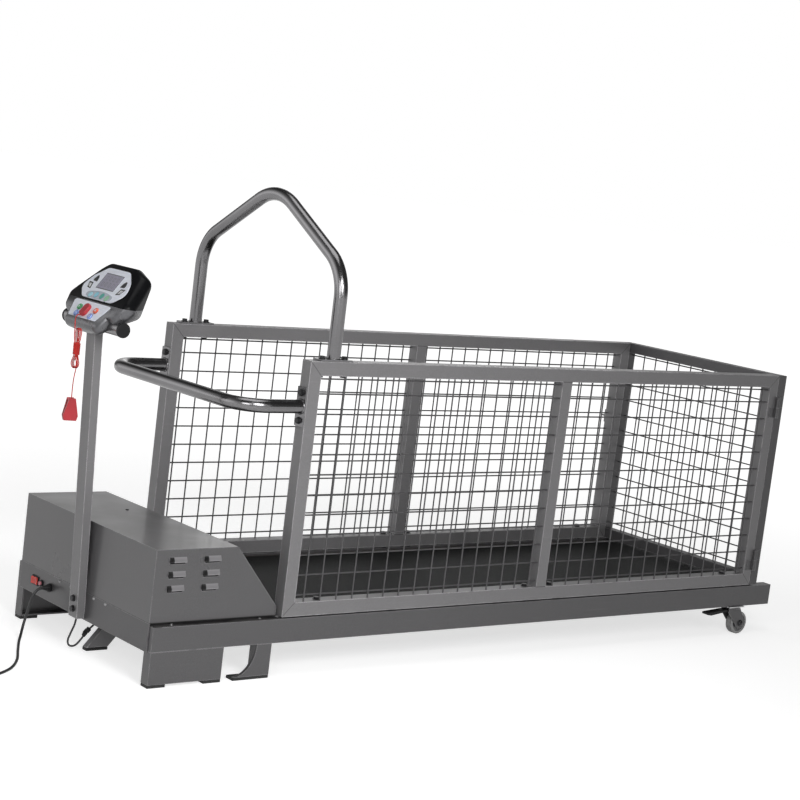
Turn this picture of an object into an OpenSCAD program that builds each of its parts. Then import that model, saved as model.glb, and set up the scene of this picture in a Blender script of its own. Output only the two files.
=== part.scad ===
// Dog treadmill: caged running deck with a mast-mounted console, rear gate and casters.
// Frame: +Z up, floor at z = 0, console end at -X, rear gate at +X, origin under the middle of the box.

/* [Base] */
// Length of each side rail
rail_len = 2180; // [2050:5:2400]
// Width over the side rails
base_w = 654; // [600:2:760]
// Height of a side rail
rail_h = 60; // [58:1:76]
// Width of a side rail
rail_w = 30; // [26:1:40]
// Gap between the floor and the side rails
ground_gap = 87; // [84:1:110]
// Thickness of the base sheet metal
sheet_t = 3; // [2:0.5:4]
// Width of a cross member along the machine
cross_w = 40; // [30:1:60]
// Height of the rubber pads
pad_h = 8; // [5:1:14]

/* [Front legs] */
// Length of a front foot plate
foot_len = 205; // [160:1:230]
// Wall of a front foot plate
foot_wall = 4; // [3:0.5:6]
// Width of the turned-in flanges of a front foot
foot_flange = 30; // [20:1:45]
// Width of a second leg
leg_w = 43; // [30:1:60]
// Distance from the rail's front end to the second leg
leg_back = 302; // [280:1:330]
// How far the second leg's gusset flares forward
flare = 62; // [30:1:75]
// Thickness of the flared gusset
flare_t = 10; // [6:1:16]
// Slope of the middle strut
strut_slope = 49; // [42:1:60]
// Depth of the middle strut
strut_d = 46; // [35:1:55]
// Width of the middle strut
strut_w = 20; // [15:1:40]

/* [Running deck] */
// Gap between the running belt's edges and the side rails
belt_edge_gap = 17; // [14:1:57]
// Thickness of the running belt
belt_t = 2; // [1.5:0.1:3]
// Radius of the drive and rear rollers
roller_r = 24; // [20:0.5:25]
// Radius of the fixed roller axles
axle_r = 8; // [6:0.5:9]
// Thickness of the deck board
deck_t = 18; // [15:1:20]
// Distance from the rail's front end to the drive roller
drive_back = 305; // [290:1:340]
// Distance from the rail's rear end to the rear roller
rear_inset = 39; // [34:1:60]
// Radius of the pulley on the drive roller
pulley_r = 34; // [30:0.5:36]
// Width of the ribbed drive belt's pulleys
pulley_w = 11; // [8:0.5:12]

/* [Motor] */
// Radius of the motor
motor_r = 48; // [38:1:56]
// Length of the motor
motor_len = 180; // [120:1:210]
// Distance from the rail's front end to the motor shaft
motor_back = 145; // [130:1:170]
// Height of the motor shaft above the rails
motor_rise = 36; // [25:1:50]
// Radius of the flywheel
flywheel_r = 52; // [40:1:56]
// Radius of the motor pulley
motor_pulley_r = 19; // [14:0.5:24]

/* [Hood] */
// Height of the motor hood above the rails
hood_h = 176; // [160:1:210]
// Length of the hood's flat top
hood_top_len = 228; // [205:1:250]
// Length of the hood at the rails
hood_len = 360; // [345:1:364]
// How far the hood's sides stand in from the rail faces
hood_inset = 15; // [12:1:22]
// Height of the hood's upright rear edge
hood_sill = 22; // [14:1:40]
// Thickness of the hood sheet
hood_t = 2; // [1.5:0.25:3]
// Length of a louvre
louvre_len = 46; // [30:1:55]
// Height of a louvre
louvre_h = 14; // [8:1:18]
// How far a louvre stands out
louvre_out = 5; // [3:0.5:7]

/* [Cage] */
// Length of the cage
cage_len = 1716; // [1500:2:1760]
// Height of the cage
cage_h = 632; // [560:2:760]
// Width of the square cage tube
tube = 35; // [30:1:40]
// Distance from the rail's front end to the cage
cage_setback = 365; // [364:1:390]
// Gap between the rails and the cage
cage_lift = 4; // [2:0.5:8]
// Spacing of the mesh wires
mesh_pitch = 50; // [40:1:70]
// Diameter of a mesh wire
wire_d = 4; // [3:0.25:5]
// Height of the lowest mesh wire over the bottom tube
wire_sill = 17; // [12:1:30]
// Distance from the top tube to the highest mesh wire
wire_head = 8; // [6:1:14]

/* [Gate] */
// Thickness of the gate's tube
gate_t = 30; // [25:1:35]
// Running gap between the cage and the gate
gate_gap = 2; // [1:0.25:4]
// Height of the gate's lower edge over the rails
gate_lift = 4; // [3:1:30]
// Radius of a hinge knuckle
knuckle_r = 6; // [5:0.25:8]
// Radius of a hinge pin
hinge_pin_r = 3; // [2.5:0.25:3.5]
// Length of a hinge
hinge_len = 60; // [40:1:80]
// Radius of the latch bolt
latch_r = 5; // [4:0.25:6]
// Travel of the latch bolt
latch_travel = 25; // [15:1:30]

/* [Hoop and U-bar] */
// Radius of the bent round tube
pipe_r = 17; // [14:0.5:17]
// Distance from the cage's front to the hoop
hoop_back = 78; // [70:1:120]
// Height of the hoop's shoulder over the cage
hoop_shoulder = 222; // [190:1:280]
// Slope of the hoop's roof
hoop_slope = 29.7; // [25:0.1:35]
// Bend radius at the hoop's shoulders
shoulder_bend = 115; // [90:1:130]
// Bend radius at the hoop's top
ridge_bend = 148; // [110:1:170]
// Reach of the U-bar ahead of the cage
u_reach = 172; // [150:1:200]
// Height of the U-bar above the cage's lower edge
u_height = 519; // [450:1:540]
// Bend radius of the U-bar
u_bend = 77; // [60:1:100]
// Thickness of the flange plates
flange_t = 5; // [4:0.5:8]
// Spacing of the bolts in a flange
flange_bolts = 68; // [62:1:80]
// Length of a flange plate
flange_len = 96; // [92:1:110]

/* [Mast and console] */
// Width of the mast tube
mast_w = 40; // [34:1:44]
// Depth of the mast tube
mast_d = 22; // [20:1:26]
// Wall of the mast tube
mast_wall = 2.5; // [2:0.25:3]
// Forward lean of the mast
mast_lean = 2.4; // [0:0.1:4]
// Height of the handlebar above the rails
bar_rise = 666; // [600:1:720]
// Length of the handlebar without its caps
bar_len = 252; // [220:1:300]
// Length of a handlebar cap outside the bar
cap_len = 6; // [4:0.5:12]
// Tilt of the console face from upright
face_tilt = 38.5; // [30:0.5:45]
// How far the lower edge of the face stands ahead of the handlebar
face_ahead = 40; // [38:0.5:46]
// How far the lower edge of the face stands above the handlebar
face_above = 10; // [6:0.5:14]
// Thickness of the console overlays
overlay_t = 1.2; // [0.8:0.1:2]
// Travel of a console key
key_travel = 1; // [0.6:0.1:1.4]

/* [Power] */
// Width of the rocker switch
switch_w = 32; // [28:0.5:36]
// Height of the rocker switch
switch_h = 24; // [20:0.5:28]
// Tilt of the rocker when switched off
rocker_tilt = 8; // [5:0.5:10]
// Radius of the breaker's reset button
button_r = 5; // [4:0.25:6]
// Travel of the reset button
button_travel = 2; // [1:0.25:3]
// Diameter of the power cord
cord_d = 7; // [6:0.5:8]
// Turns in each layer of the stored cord
coil_turns = 2; // [1:1:4]
// Radius of the stored cord's inner turn
coil_r_in = 30; // [25:1:40]

/* [Casters] */
// Diameter of a caster wheel
wheel_d = 68; // [60:1:73]
// Width of a caster wheel
wheel_w = 24; // [18:1:26]
// Distance from the rail's rear end to the swivel
swivel_inset = 146; // [130:1:180]
// How far the wheel trails the swivel
trail = 30; // [25:1:38]
// Radius of the kingpin
kingpin_r = 6; // [5:0.25:7]
// Radius of the wheel bolt
wheel_bolt_r = 4; // [3:0.25:5]
// Length of the brake pedal
pedal_len = 92; // [60:1:105]

/* [Hidden] */
$fn = 48;

// Paint and plastic colours
steel_grey = [0.40, 0.40, 0.41];
dark_grey = [0.27, 0.27, 0.28];
bright_steel = [0.62, 0.62, 0.64];
black_plastic = [0.09, 0.09, 0.10];
signal_red = [0.72, 0.10, 0.12];

// One overrun serves all cuts, one gap all running faces, and one all loose seats
cut = 1;
run_gap = 0.3;
fit_gap = 0.05;
seat_gap = 0.2;

// Levels above the floor
rail_top = ground_gap + rail_h;
cage_z0 = rail_top + cage_lift;
cage_z1 = cage_z0 + cage_h;

// Mast, handlebar and console places, measured from the rails' front end
mast_seat = 1.5;
mast_drop = rail_h;
mast_axis_fore = mast_d / 2 - mast_seat;
bar_fore = mast_axis_fore + (bar_rise + mast_drop) * tan(mast_lean);
lip_drop = 20;
lip_edge = 24;
front_reach = sheet_t + bar_fore + face_ahead + lip_edge * sin(face_tilt);

// Places along the machine
x_rail0 = (front_reach - rail_len) / 2;
x_rail1 = x_rail0 + rail_len;
panel_front = x_rail0 - sheet_t;
cage_x0 = x_rail0 + cage_setback;
cage_x1 = cage_x0 + cage_len;
cage_mid = (cage_x0 + cage_x1) / 2;
drive_x = x_rail0 + drive_back;
rear_x = x_rail1 - rear_inset;
motor_x = x_rail0 + motor_back;
bar_x = panel_front - bar_fore;
bar_z = rail_top + bar_rise;
face_x = bar_x - face_ahead;
face_z = bar_z + face_above;

// Places across the machine
half_w = base_w / 2;
rail_in = half_w - rail_w;
belt_w = (rail_in - belt_edge_gap) * 2;
hood_half = half_w - hood_inset;

// Running deck levels
belt_below_rail = 4;
roller_z = rail_top - belt_below_rail - belt_t - roller_r - run_gap;
deck_top = roller_z + roller_r + run_gap;
deck_clear = 12;
deck_gap = 4;
cross_h = 25;
cross_shares = [0.22, 0.42, 0.62, 0.82];
pan_len = 235;
pulley_y = belt_w / 2 + run_gap * 2;
end_cap_t = 8;

// Fasteners
bolt_r = 4;
bolt_head_r = 7.5;
bolt_head_h = 5.5;
washer_r = 9;
washer_t = 1.6;
screw_head_r = 4.5;
screw_head_h = 2.6;
base_bolt_end = 112;
base_bolt_mid = 46;

module bolt_down(grip, nut = true) {
    cylinder(r = washer_r, h = washer_t);
    translate([0, 0, washer_t]) cylinder(r = bolt_head_r, h = bolt_head_h, $fn = 6);
    translate([0, 0, -grip]) cylinder(r = bolt_r, h = grip + washer_t);
    if (nut) translate([0, 0, -grip - bolt_head_h]) cylinder(r = bolt_head_r, h = bolt_head_h, $fn = 6);
}

// A bar from one point straight up, forward or across
module bar_y(r, len) { rotate([-90, 0, 0]) cylinder(r = r, h = len); }
module bar_x(r, len) { rotate([0, 90, 0]) cylinder(r = r, h = len); }
module mirrored() { children(); mirror([0, 1, 0]) children(); }

// Base

module side_rails() {
    color(steel_grey) mirrored() difference() {
        translate([x_rail0, rail_in, ground_gap]) cube([rail_len, rail_w, rail_h]);
        for (x = base_bolt_places()) translate([x, half_w - tube / 2, rail_top - base_bolt_bite])
            cylinder(r = bolt_r + seat_gap, h = base_bolt_bite + cut);
        for (x = [drive_x, rear_x]) translate([x, rail_in - cut, roller_z]) bar_y(axle_r, axle_bite + cut);
    }
}
base_bolt_bite = 25;
axle_bite = 12;
function base_bolt_places() = [cage_x0 + base_bolt_end, cage_mid - base_bolt_mid, cage_mid + base_bolt_mid,
    cage_x1 - base_bolt_end];

// Deck bearers under the board, and the pan that carries the motor
module cross_members() {
    color(dark_grey) {
        for (s = cross_shares)
            translate([x_rail0 + s * rail_len - cross_w / 2, -rail_in, deck_top - deck_t - cross_h])
                cube([cross_w, rail_in * 2, cross_h]);
        translate([x_rail0, -rail_in, ground_gap]) cube([pan_len, rail_in * 2, sheet_t]);
        for (y = [motor_y0 + foot_bar, motor_y0 + motor_len - foot_bar * 2])
            translate([motor_x - motor_r, y, ground_gap + sheet_t]) difference() {
                cube([motor_r * 2, foot_bar, motor_z - ground_gap - sheet_t - motor_r * saddle_share]);
                translate([motor_r, -cut, motor_z - ground_gap - sheet_t]) bar_y(motor_r, foot_bar + cut * 2);
            }
    }
}
foot_bar = 16;
saddle_share = 0.4;

// Upright sheet across the rails' front ends, with a turned-in lower edge
panel_half = half_w - hood_inset;
panel_drop = sheet_t;
hood_seam = 6;
panel_top = rail_top + hood_seam;
module front_panel() {
    color(dark_grey) difference() {
        union() {
            translate([panel_front, -panel_half, ground_gap - panel_drop])
                cube([sheet_t, panel_half * 2, panel_top - ground_gap + panel_drop]);
            translate([x_rail0 - sheet_t, -rail_in, ground_gap - panel_drop])
                cube([panel_lip, rail_in * 2, sheet_t]);
        }
        translate([panel_front - cut, switch_y, switch_z]) switch_hole();
        translate([panel_front - cut, breaker_y, switch_z]) bar_x(breaker_body_r, sheet_t + cut * 2);
        translate([panel_front - cut, grip_y, switch_z]) bar_x(grip_thread_r, sheet_t + cut * 2);
        for (z = mast_bolt_levels())
            translate([panel_front - cut, 0, z]) bar_x(bolt_r + seat_gap, sheet_t + cut * 2);
    }
}
panel_lip = 20;
module switch_hole() {
    translate([0, -switch_w / 2 + bezel_rim, -switch_h / 2 + bezel_rim])
        cube([sheet_t + cut * 2, switch_w - bezel_rim * 2, switch_h - bezel_rim * 2]);
}

// Front foot plates and the flared second legs, one of each under each rail
module front_legs() {
    foot_h = ground_gap - pad_h;
    color(steel_grey) mirrored() {
        translate([x_rail0, half_w - foot_wall, pad_h]) cube([foot_len, foot_wall, foot_h]);
        translate([x_rail0, half_w - foot_flange, pad_h]) cube([foot_len, foot_flange, foot_wall]);
        translate([x_rail0, half_w - foot_flange, pad_h]) cube([foot_wall, foot_flange, foot_h]);
        translate([x_rail0 + leg_back, rail_in, pad_h]) cube([leg_w, rail_w, foot_h]);
        translate([x_rail0 + leg_back, half_w - flare_t, pad_h]) rotate([90, 0, 0]) mirror([1, 0, 0])
            translate([0, 0, -flare_t]) linear_extrude(flare_t) difference() {
                square([flare, foot_h]);
                translate([flare, foot_h]) scale([1, foot_h / flare]) circle(r = flare, $fn = 32);
                translate([flare - flare_toe, flare_toe]) square([flare_toe + cut, foot_h]);
            }
    }
}
flare_toe = 5;

// Single slanted strut under the motor pan
strut_back = 118;
module front_strut() {
    color(dark_grey) intersection() {
        translate([x_rail0 + strut_back, 0, ground_gap]) rotate([0, 180 - strut_slope, 0])
            translate([-strut_d * 2, -strut_w / 2, -strut_d / 2])
                cube([ground_gap * 2 + strut_d * 2, strut_w, strut_d]);
        translate([x_rail0 - ground_gap * 2, -strut_w, pad_h])
            cube([ground_gap * 6, strut_w * 2, ground_gap - pad_h]);
    }
}

// Rubber pads under the feet, legs and strut
pad_len = 50;
strut_toe_x = x_rail0 + strut_back - (ground_gap - pad_h) / tan(strut_slope);
module foot_pads() {
    color(black_plastic) {
        mirrored() {
            translate([x_rail0, half_w - foot_flange, 0]) cube([pad_len, foot_flange, pad_h]);
            translate([x_rail0 + foot_len - pad_len, half_w - foot_flange, 0])
                cube([pad_len, foot_flange, pad_h]);
            translate([x_rail0 + leg_back - flare, rail_in, 0]) cube([leg_w + flare, rail_w, pad_h]);
        }
        translate([strut_toe_x - strut_d / sin(strut_slope) / 2, -strut_w / 2, 0])
            cube([strut_d / sin(strut_slope), strut_w, pad_h]);
    }
}

// Running deck

module deck_board() {
    x0 = drive_x + max(roller_r, pulley_r + drive_belt_t) + deck_gap;
    color([0.45, 0.33, 0.22]) translate([x0, -rail_in, deck_top - deck_t])
        cube([rear_x - roller_r - deck_clear - x0, rail_in * 2, deck_t]);
}

module belt_outline(r) {
    hull() for (x = [drive_x, rear_x]) translate([x, roller_z]) circle(r = r, $fn = 64);
}
module running_belt() {
    color(black_plastic) translate([0, belt_w / 2, 0]) rotate([90, 0, 0])
        linear_extrude(belt_w) difference() {
        belt_outline(roller_r + run_gap + belt_t);
        belt_outline(roller_r + run_gap);
    }
}

// A roller: crowned-end tube that turns on its fixed axle
module roller(x) {
    translate([x, -belt_w / 2, roller_z]) difference() {
        bar_y(roller_r, belt_w);
        translate([0, end_cap_t, 0]) bar_y(roller_r - roller_wall, belt_w - end_cap_t * 2);
        translate([0, -cut, 0]) bar_y(axle_r + fit_gap, belt_w + cut * 2);
    }
}
roller_wall = 3;
module drive_roller() {
    color(bright_steel) {
        roller(drive_x);
        translate([drive_x, belt_w / 2, roller_z]) difference() {
            union() {
                bar_y(roller_r - roller_wall, pulley_gap);
                translate([0, pulley_gap, 0]) bar_y(pulley_r, pulley_w);
            }
            translate([0, -cut, 0]) bar_y(axle_r + fit_gap, pulley_gap + pulley_w + cut * 2);
        }
    }
}
pulley_gap = 1;
module rear_roller() { color(bright_steel) roller(rear_x); }
module roller_axles() {
    axle_half = rail_in + axle_bite;
    color(bright_steel) for (x = [drive_x, rear_x]) translate([x, -axle_half, roller_z]) difference() {
        bar_y(axle_r, axle_half * 2);
        if (x == rear_x) mirrored_ends(axle_half)
            translate([-axle_r - cut, tension_in, 0]) bar_x(tension_r + seat_gap, axle_r * 2 + cut * 2);
    }
}
module mirrored_ends(half) { children(); translate([0, half * 2, 0]) mirror([0, 1, 0]) children(); }

// Screws in the rails' rear ends that pull the rear axle back
tension_r = 3;
tension_in = 18;
module tension_screws() {
    screw_y = rail_in + axle_bite - tension_in;
    head_x = rear_x + tension_out;
    color(bright_steel) mirrored() {
        translate([rear_x - axle_r * 1.5, screw_y, roller_z])
            bar_x(tension_r, head_x - rear_x + axle_r * 1.5);
        translate([head_x, screw_y, roller_z]) bar_x(tension_head_r, bolt_head_h, $fn = 6);
        translate([head_x - tension_plate_t, screw_y - tension_plate_in, roller_z - tension_plate_h / 2])
            cube([tension_plate_t, tension_plate_in + rail_in - screw_y, tension_plate_h]);
    }
}
tension_out = 30;
tension_head_r = 5;
tension_plate_t = 4;
tension_plate_in = 8;
tension_plate_h = 18;

// Motor and drive

motor_z = rail_top + motor_rise;
motor_bore_r = 8;
shaft_end = belt_w / 2 + pulley_gap + pulley_w;
shaft_out = 72;
motor_y0 = shaft_end - shaft_out - motor_len;
flywheel_t = 22;
module drive_motor() {
    color(dark_grey) translate([motor_x, motor_y0, motor_z]) {
        bar_y(motor_r, motor_len);
        translate([0, motor_len, 0]) bar_y(motor_bore_r, shaft_end - motor_y0 - motor_len);
    }
}
module motor_flywheel() {
    wheel_y = motor_y0 + motor_len + pulley_gap;
    color(bright_steel) translate([motor_x, wheel_y, motor_z]) difference() {
        union() {
            bar_y(flywheel_r, flywheel_t);
            bar_y(motor_pulley_r, shaft_end - wheel_y);
        }
        translate([0, -cut, 0]) bar_y(motor_bore_r + fit_gap, shaft_end - wheel_y + cut * 2);
    }
}
drive_belt_t = 3;
module drive_belt() {
    color(black_plastic) translate([0, shaft_end, 0]) rotate([90, 0, 0]) linear_extrude(pulley_w - pulley_gap)
        difference() {
            drive_loop(run_gap + drive_belt_t);
            drive_loop(run_gap);
        }
}
module drive_loop(grow) {
    hull() {
        translate([motor_x, motor_z]) circle(r = motor_pulley_r + grow);
        translate([drive_x, roller_z]) circle(r = pulley_r + grow);
    }
}

// Speed controller on the motor pan, beside the motor
controller_w = 150;
controller_d = 110;
controller_h = 58;
controller_fins = 8;
module motor_controller() {
    color(bright_steel)
    translate([x_rail0 + foot_bar, motor_y0 - controller_w - foot_bar, ground_gap + sheet_t]) {
        cube([controller_d, controller_w, controller_h * 0.5]);
        for (i = [0 : controller_fins - 1])
            translate([0, i * (controller_w - sheet_t) / (controller_fins - 1), controller_h * 0.5])
                cube([controller_d, sheet_t, controller_h * 0.5]);
    }
}

// Hood: bent sheet over the motor with pressed louvres in both sides
module hood_profile(inset) {
    low = inset > 0 ? -cut : 0;
    polygon([[inset, low], [inset, hood_h - inset], [hood_top_len - inset, hood_h - inset],
        [hood_len - inset, hood_sill - inset], [hood_len - inset, low]]);
}
module hood_block(inset, half) {
    translate([panel_front, half, panel_top]) rotate([90, 0, 0]) linear_extrude(half * 2) hood_profile(inset);
}
hood_rail_gap = panel_top - rail_top;
hood_lip = 14;
module motor_hood() {
    color(steel_grey) {
        difference() {
            union() {
                hood_block(0, hood_half);
                mirrored() for (x = louvre_places(), z = louvre_levels())
                    translate([x, hood_half, z]) louvre_shell(louvre_out, 0);
            }
            hood_block(hood_t, hood_half - hood_t);
            mirrored() for (x = louvre_places(), z = louvre_levels())
                translate([x, hood_half, z]) louvre_shell(louvre_out - hood_t, hood_t);
        }
        mirrored() difference() {
            union() {
                translate([x_rail0, rail_in, rail_top])
                    cube([hood_len - sheet_t, hood_half - rail_in, hood_rail_gap]);
                translate([x_rail0, hood_half, rail_top]) cube([hood_len - sheet_t, hood_lip, hood_t]);
            }
            translate([x_rail0 - cut, rail_in - hood_t, rail_top - cut])
                cube([hood_len + cut * 2, hood_half - rail_in, hood_rail_gap + cut]);
            for (x = hood_screw_places()) translate([x, hood_half + hood_lip / 2, rail_top - cut])
                cylinder(r = screw_r + seat_gap, h = hood_t + cut * 2);
        }
    }
}
louvre_first = 38;
louvre_step = 96;
louvre_base = 76;
louvre_rise = 34;
function louvre_places() = [for (i = [0, 1]) panel_front + louvre_first + i * louvre_step];
function louvre_levels() = [for (i = [0 : 2]) panel_top + louvre_base + i * louvre_rise];

// One louvre: a slanted hood pressed out of the sheet, open along its lower edge
module louvre_shell(out, inset) {
    translate([inset, 0, 0]) rotate([90, 0, 90]) linear_extrude(louvre_len - inset * 2)
        polygon([[-hood_t * 2, -inset * 2], [out, -inset * 2], [out, louvre_h * 0.35], [0, louvre_h - inset],
            [-hood_t * 2, louvre_h - inset]]);
}
screw_r = 2.5;
screw_len = 10;
hood_screw_share = 0.15;
function hood_screw_places() = [for (s = [hood_screw_share, 1 - hood_screw_share]) x_rail0 + hood_len * s];
module hood_screws() {
    color(bright_steel) {
        mirrored() for (x = hood_screw_places()) translate([x, hood_half + hood_lip / 2, rail_top + hood_t]) {
            cylinder(r1 = screw_head_r, r2 = screw_head_r * 0.6, h = screw_head_h);
            translate([0, 0, -hood_t]) cylinder(r = screw_r, h = hood_t);
        }
        for (y = [panel_half * 0.18, panel_half * 0.36], s = [-1, 1])
            translate([panel_front, s * y, panel_top - hood_seam]) rotate([0, -90, 0])
                cylinder(r1 = screw_head_r, r2 = screw_head_r * 0.6, h = screw_head_h);
    }
}

// Cage

win_len = (cage_len - tube * 3) / 2;
win_h = cage_h - tube * 2;
module cage_frame() {
    difference() {
        translate([cage_x0, half_w, cage_z0]) rotate([90, 0, 0]) linear_extrude(tube) difference() {
            square([cage_len, cage_h]);
            for (i = [0, 1]) translate([tube + i * (win_len + tube), tube]) square([win_len, win_h]);
        }
        for (s = [-1, 1])
            translate([cage_x0 + hoop_back + s * flange_bolts / 2, half_w - tube / 2, cage_z1 - tube - cut])
                cylinder(r = bolt_r + seat_gap, h = tube + cut * 2);
        for (s = [-1, 1])
            translate([cage_x0 - cut, half_w - tube / 2, cage_z0 + u_height + s * flange_bolts / 2])
                bar_x(bolt_r + seat_gap, tube + cut * 2);
        for (x = base_bolt_places()) translate([x, half_w - tube / 2, cage_z0 - cut])
            cylinder(r = bolt_r + seat_gap, h = tube + cut * 2);
    }
}
module near_cage_frame() { color(steel_grey) mirror([0, 1, 0]) cage_frame(); }
module far_cage_frame() { color(steel_grey) cage_frame(); }

// Welded wire panel in an opening of len by h, uprights at y = 0 and level wires just inside them
wire_inset = 3.5;
weld_gap = 0.05;
module wire_panel(len, h) {
    count = floor(len / mesh_pitch);
    first = (len - (count - 1) * mesh_pitch) / 2;
    rows = floor((h - wire_sill - wire_head - mesh_pitch / 2) / mesh_pitch);
    for (i = [0 : count - 1]) translate([first + i * mesh_pitch, 0, 0]) cylinder(d = wire_d, h = h, $fn = 24);
    for (z = concat([for (i = [0 : rows]) wire_sill + i * mesh_pitch], [h - wire_head]))
        translate([0, -wire_d - weld_gap, z]) bar_x(wire_d / 2, len, $fn = 24);
}
module cage_mesh() {
    for (i = [0, 1]) translate([cage_x0 + tube + i * (win_len + tube), half_w - wire_inset, cage_z0 + tube])
        wire_panel(win_len, win_h);
}
module near_cage_mesh() { color(steel_grey) mirror([0, 1, 0]) cage_mesh(); }
module far_cage_mesh() { color(steel_grey) cage_mesh(); }

// Bolts with washers and nuts: hoop flanges, U-bar flanges, cage feet with spacers, mast foot
mast_bolt_share = [0.36, 0.80];
function mast_bolt_levels() = [for (s = mast_bolt_share) ground_gap + rail_h * s];
spacer_r = 14;
module hex_bolts() {
    color(black_plastic) {
        mirrored() {
            for (s = [-1, 1])
                translate([cage_x0 + hoop_back + s * flange_bolts / 2, half_w - tube / 2, cage_z1 + flange_t])
                    bolt_down(flange_t + tube);
            for (s = [-1, 1])
                translate([cage_x0 - flange_t, half_w - tube / 2, cage_z0 + u_height + s * flange_bolts / 2])
                    rotate([0, -90, 0]) bolt_down(flange_t + tube);
            for (x = base_bolt_places()) translate([x, half_w - tube / 2, cage_z0 + tube]) {
                bolt_down(tube + cage_lift + base_bolt_bite - cut * 2, nut = false);
                translate([0, 0, -tube - cage_lift]) difference() {
                    cylinder(r = spacer_r, h = cage_lift);
                    translate([0, 0, -cut]) cylinder(r = bolt_r, h = cage_lift + cut * 2);
                }
            }
        }
        for (z = mast_bolt_levels()) translate([mast_bolt_head_x(z), 0, z]) rotate([0, -90, 0])
            bolt_down(panel_front + sheet_t - mast_bolt_head_x(z));
    }
}
function mast_bolt_head_x(z) = panel_front + mast_seat + spot_depth - mast_d / cos(mast_lean)
    - (z - washer_r - ground_gap) * tan(mast_lean);
spot_depth = 0.2;

// Gate

gate_x0 = cage_x1 + gate_gap;
gate_z0 = rail_top + gate_lift;
gate_h = cage_z1 - gate_z0;
gate_win_w = base_w - gate_t * 2;
gate_win_h = gate_h - gate_t * 2;
hinge_x = cage_x1 + gate_gap / 2;
hinge_y = -half_w - knuckle_r;
leaf_t = 2.5;
leaf_w = 26;
hinge_shares = [0.12, 0.85];
function hinge_levels() = [for (s = hinge_shares) gate_z0 + gate_h * s - hinge_len / 2];
latch_share = 0.62;
latch_z = gate_z0 + gate_h * latch_share;
guide_t = 4;
guide_w = 10;
keeper_t = 4;
keeper_w = 40;
latch_len = 110;
latch_x = gate_x0 + gate_t / 2;
latch_y = half_w + guide_t + latch_r;
latch_foot = latch_z + keeper_t / 2 + run_gap * 2;
function latch_guides() = [latch_foot, latch_foot + latch_len - latch_travel - guide_w * 2];

module gate_frame() {
    color(steel_grey) {
        translate([gate_x0, 0, gate_z0]) rotate([90, 0, 90]) linear_extrude(gate_t) difference() {
            translate([-half_w, 0]) square([base_w, gate_h]);
            translate([-half_w + gate_t, gate_t]) square([gate_win_w, gate_win_h]);
        }
        for (z = hinge_levels())
            translate([hinge_x, hinge_y, z + hinge_len / 2 + run_gap]) hinge_half(1, bored = true);
        for (z = latch_guides()) translate([latch_x, half_w, z]) difference() {
            translate([-latch_r - guide_t, 0, 0])
                cube([(latch_r + guide_t) * 2, (latch_r + guide_t) * 2, guide_w]);
            translate([0, latch_r + guide_t, -cut]) cylinder(r = latch_r + fit_gap, h = guide_w + cut * 2);
        }
    }
}
// Half a butt hinge, from its lower face up: a knuckle and the leaf on one side of the pin
module hinge_half(side, bored) {
    half_len = hinge_len / 2 - run_gap;
    difference() {
        union() {
            cylinder(r = knuckle_r, h = half_len);
            translate([side > 0 ? gate_gap / 2 : -leaf_w, knuckle_r - leaf_t, 0])
                cube([leaf_w - gate_gap / 2, leaf_t, half_len]);
        }
        if (bored) translate([0, 0, -cut]) cylinder(r = hinge_pin_r + fit_gap, h = half_len + cut * 2);
    }
}
module gate_hinges() {
    color(dark_grey) for (z = hinge_levels()) translate([hinge_x, hinge_y, z]) {
        hinge_half(-1, bored = false);
        cylinder(r = hinge_pin_r, h = hinge_len + run_gap);
    }
}
module gate_mesh() {
    color(steel_grey) translate([gate_x0 + gate_t - wire_inset, gate_win_w / 2, gate_z0 + gate_t])
        rotate([0, 0, -90]) wire_panel(gate_win_w, gate_win_h);
}
latch_knob_len = 26;
latch_knob_share = 0.8;
module latch_bolt() {
    color(bright_steel) translate([latch_x, latch_y, latch_foot]) {
        cylinder(r = latch_r, h = latch_len);
        translate([0, 0, latch_len / 2]) bar_y(latch_r * latch_knob_share, latch_knob_len);
    }
}
// Bracket on the far post, with a ledge beside the gate that takes the latch bolt
module latch_keeper() {
    ledge_w = (guide_t + latch_r) * 2;
    color(dark_grey) {
        translate([cage_x1 - tube, half_w, latch_z - keeper_w / 2]) cube([tube, keeper_t, keeper_w]);
        difference() {
            translate([cage_x1 - tube, half_w + run_gap, latch_z - keeper_t / 2])
                cube([latch_x + latch_r + guide_t - cage_x1 + tube, ledge_w, keeper_t]);
            translate([latch_x, latch_y, latch_z - keeper_t])
                cylinder(r = latch_r + run_gap, h = keeper_t * 2);
        }
    }
}

// Round tube pieces

module bend(r_bend, angle) { rotate_extrude(angle = angle) translate([r_bend, 0]) circle(r = pipe_r); }

// U-bar across the front, with a flange plate on each front post
module front_u_bar() {
    post_y = half_w - tube / 2;
    z = cage_z0 + u_height;
    color(bright_steel) {
        mirrored() {
            translate([cage_x0 - u_reach + u_bend, post_y, z]) bar_x(pipe_r, u_reach - u_bend - flange_t);
            translate([cage_x0 - u_reach + u_bend, post_y - u_bend, z]) rotate([0, 0, 90]) bend(u_bend, 90);
            translate([cage_x0 - flange_t, post_y - tube / 2, z - flange_len / 2]) difference() {
                cube([flange_t, tube, flange_len]);
                for (s = [-1, 1]) translate([-cut, tube / 2, flange_len / 2 + s * flange_bolts / 2])
                    bar_x(bolt_r + seat_gap, flange_t + cut * 2);
            }
        }
        translate([cage_x0 - u_reach, -post_y + u_bend, z]) bar_y(pipe_r, (post_y - u_bend) * 2);
    }
}

// House-shaped leash hoop over the cage, with a flange plate on each top tube
hoop_half = half_w - tube / 2;
shoulder_turn = 90 - hoop_slope;
shoulder_leg = shoulder_bend * tan(shoulder_turn / 2);
ridge_leg = ridge_bend * tan(hoop_slope);
roof_len = hoop_half / cos(hoop_slope);
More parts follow.
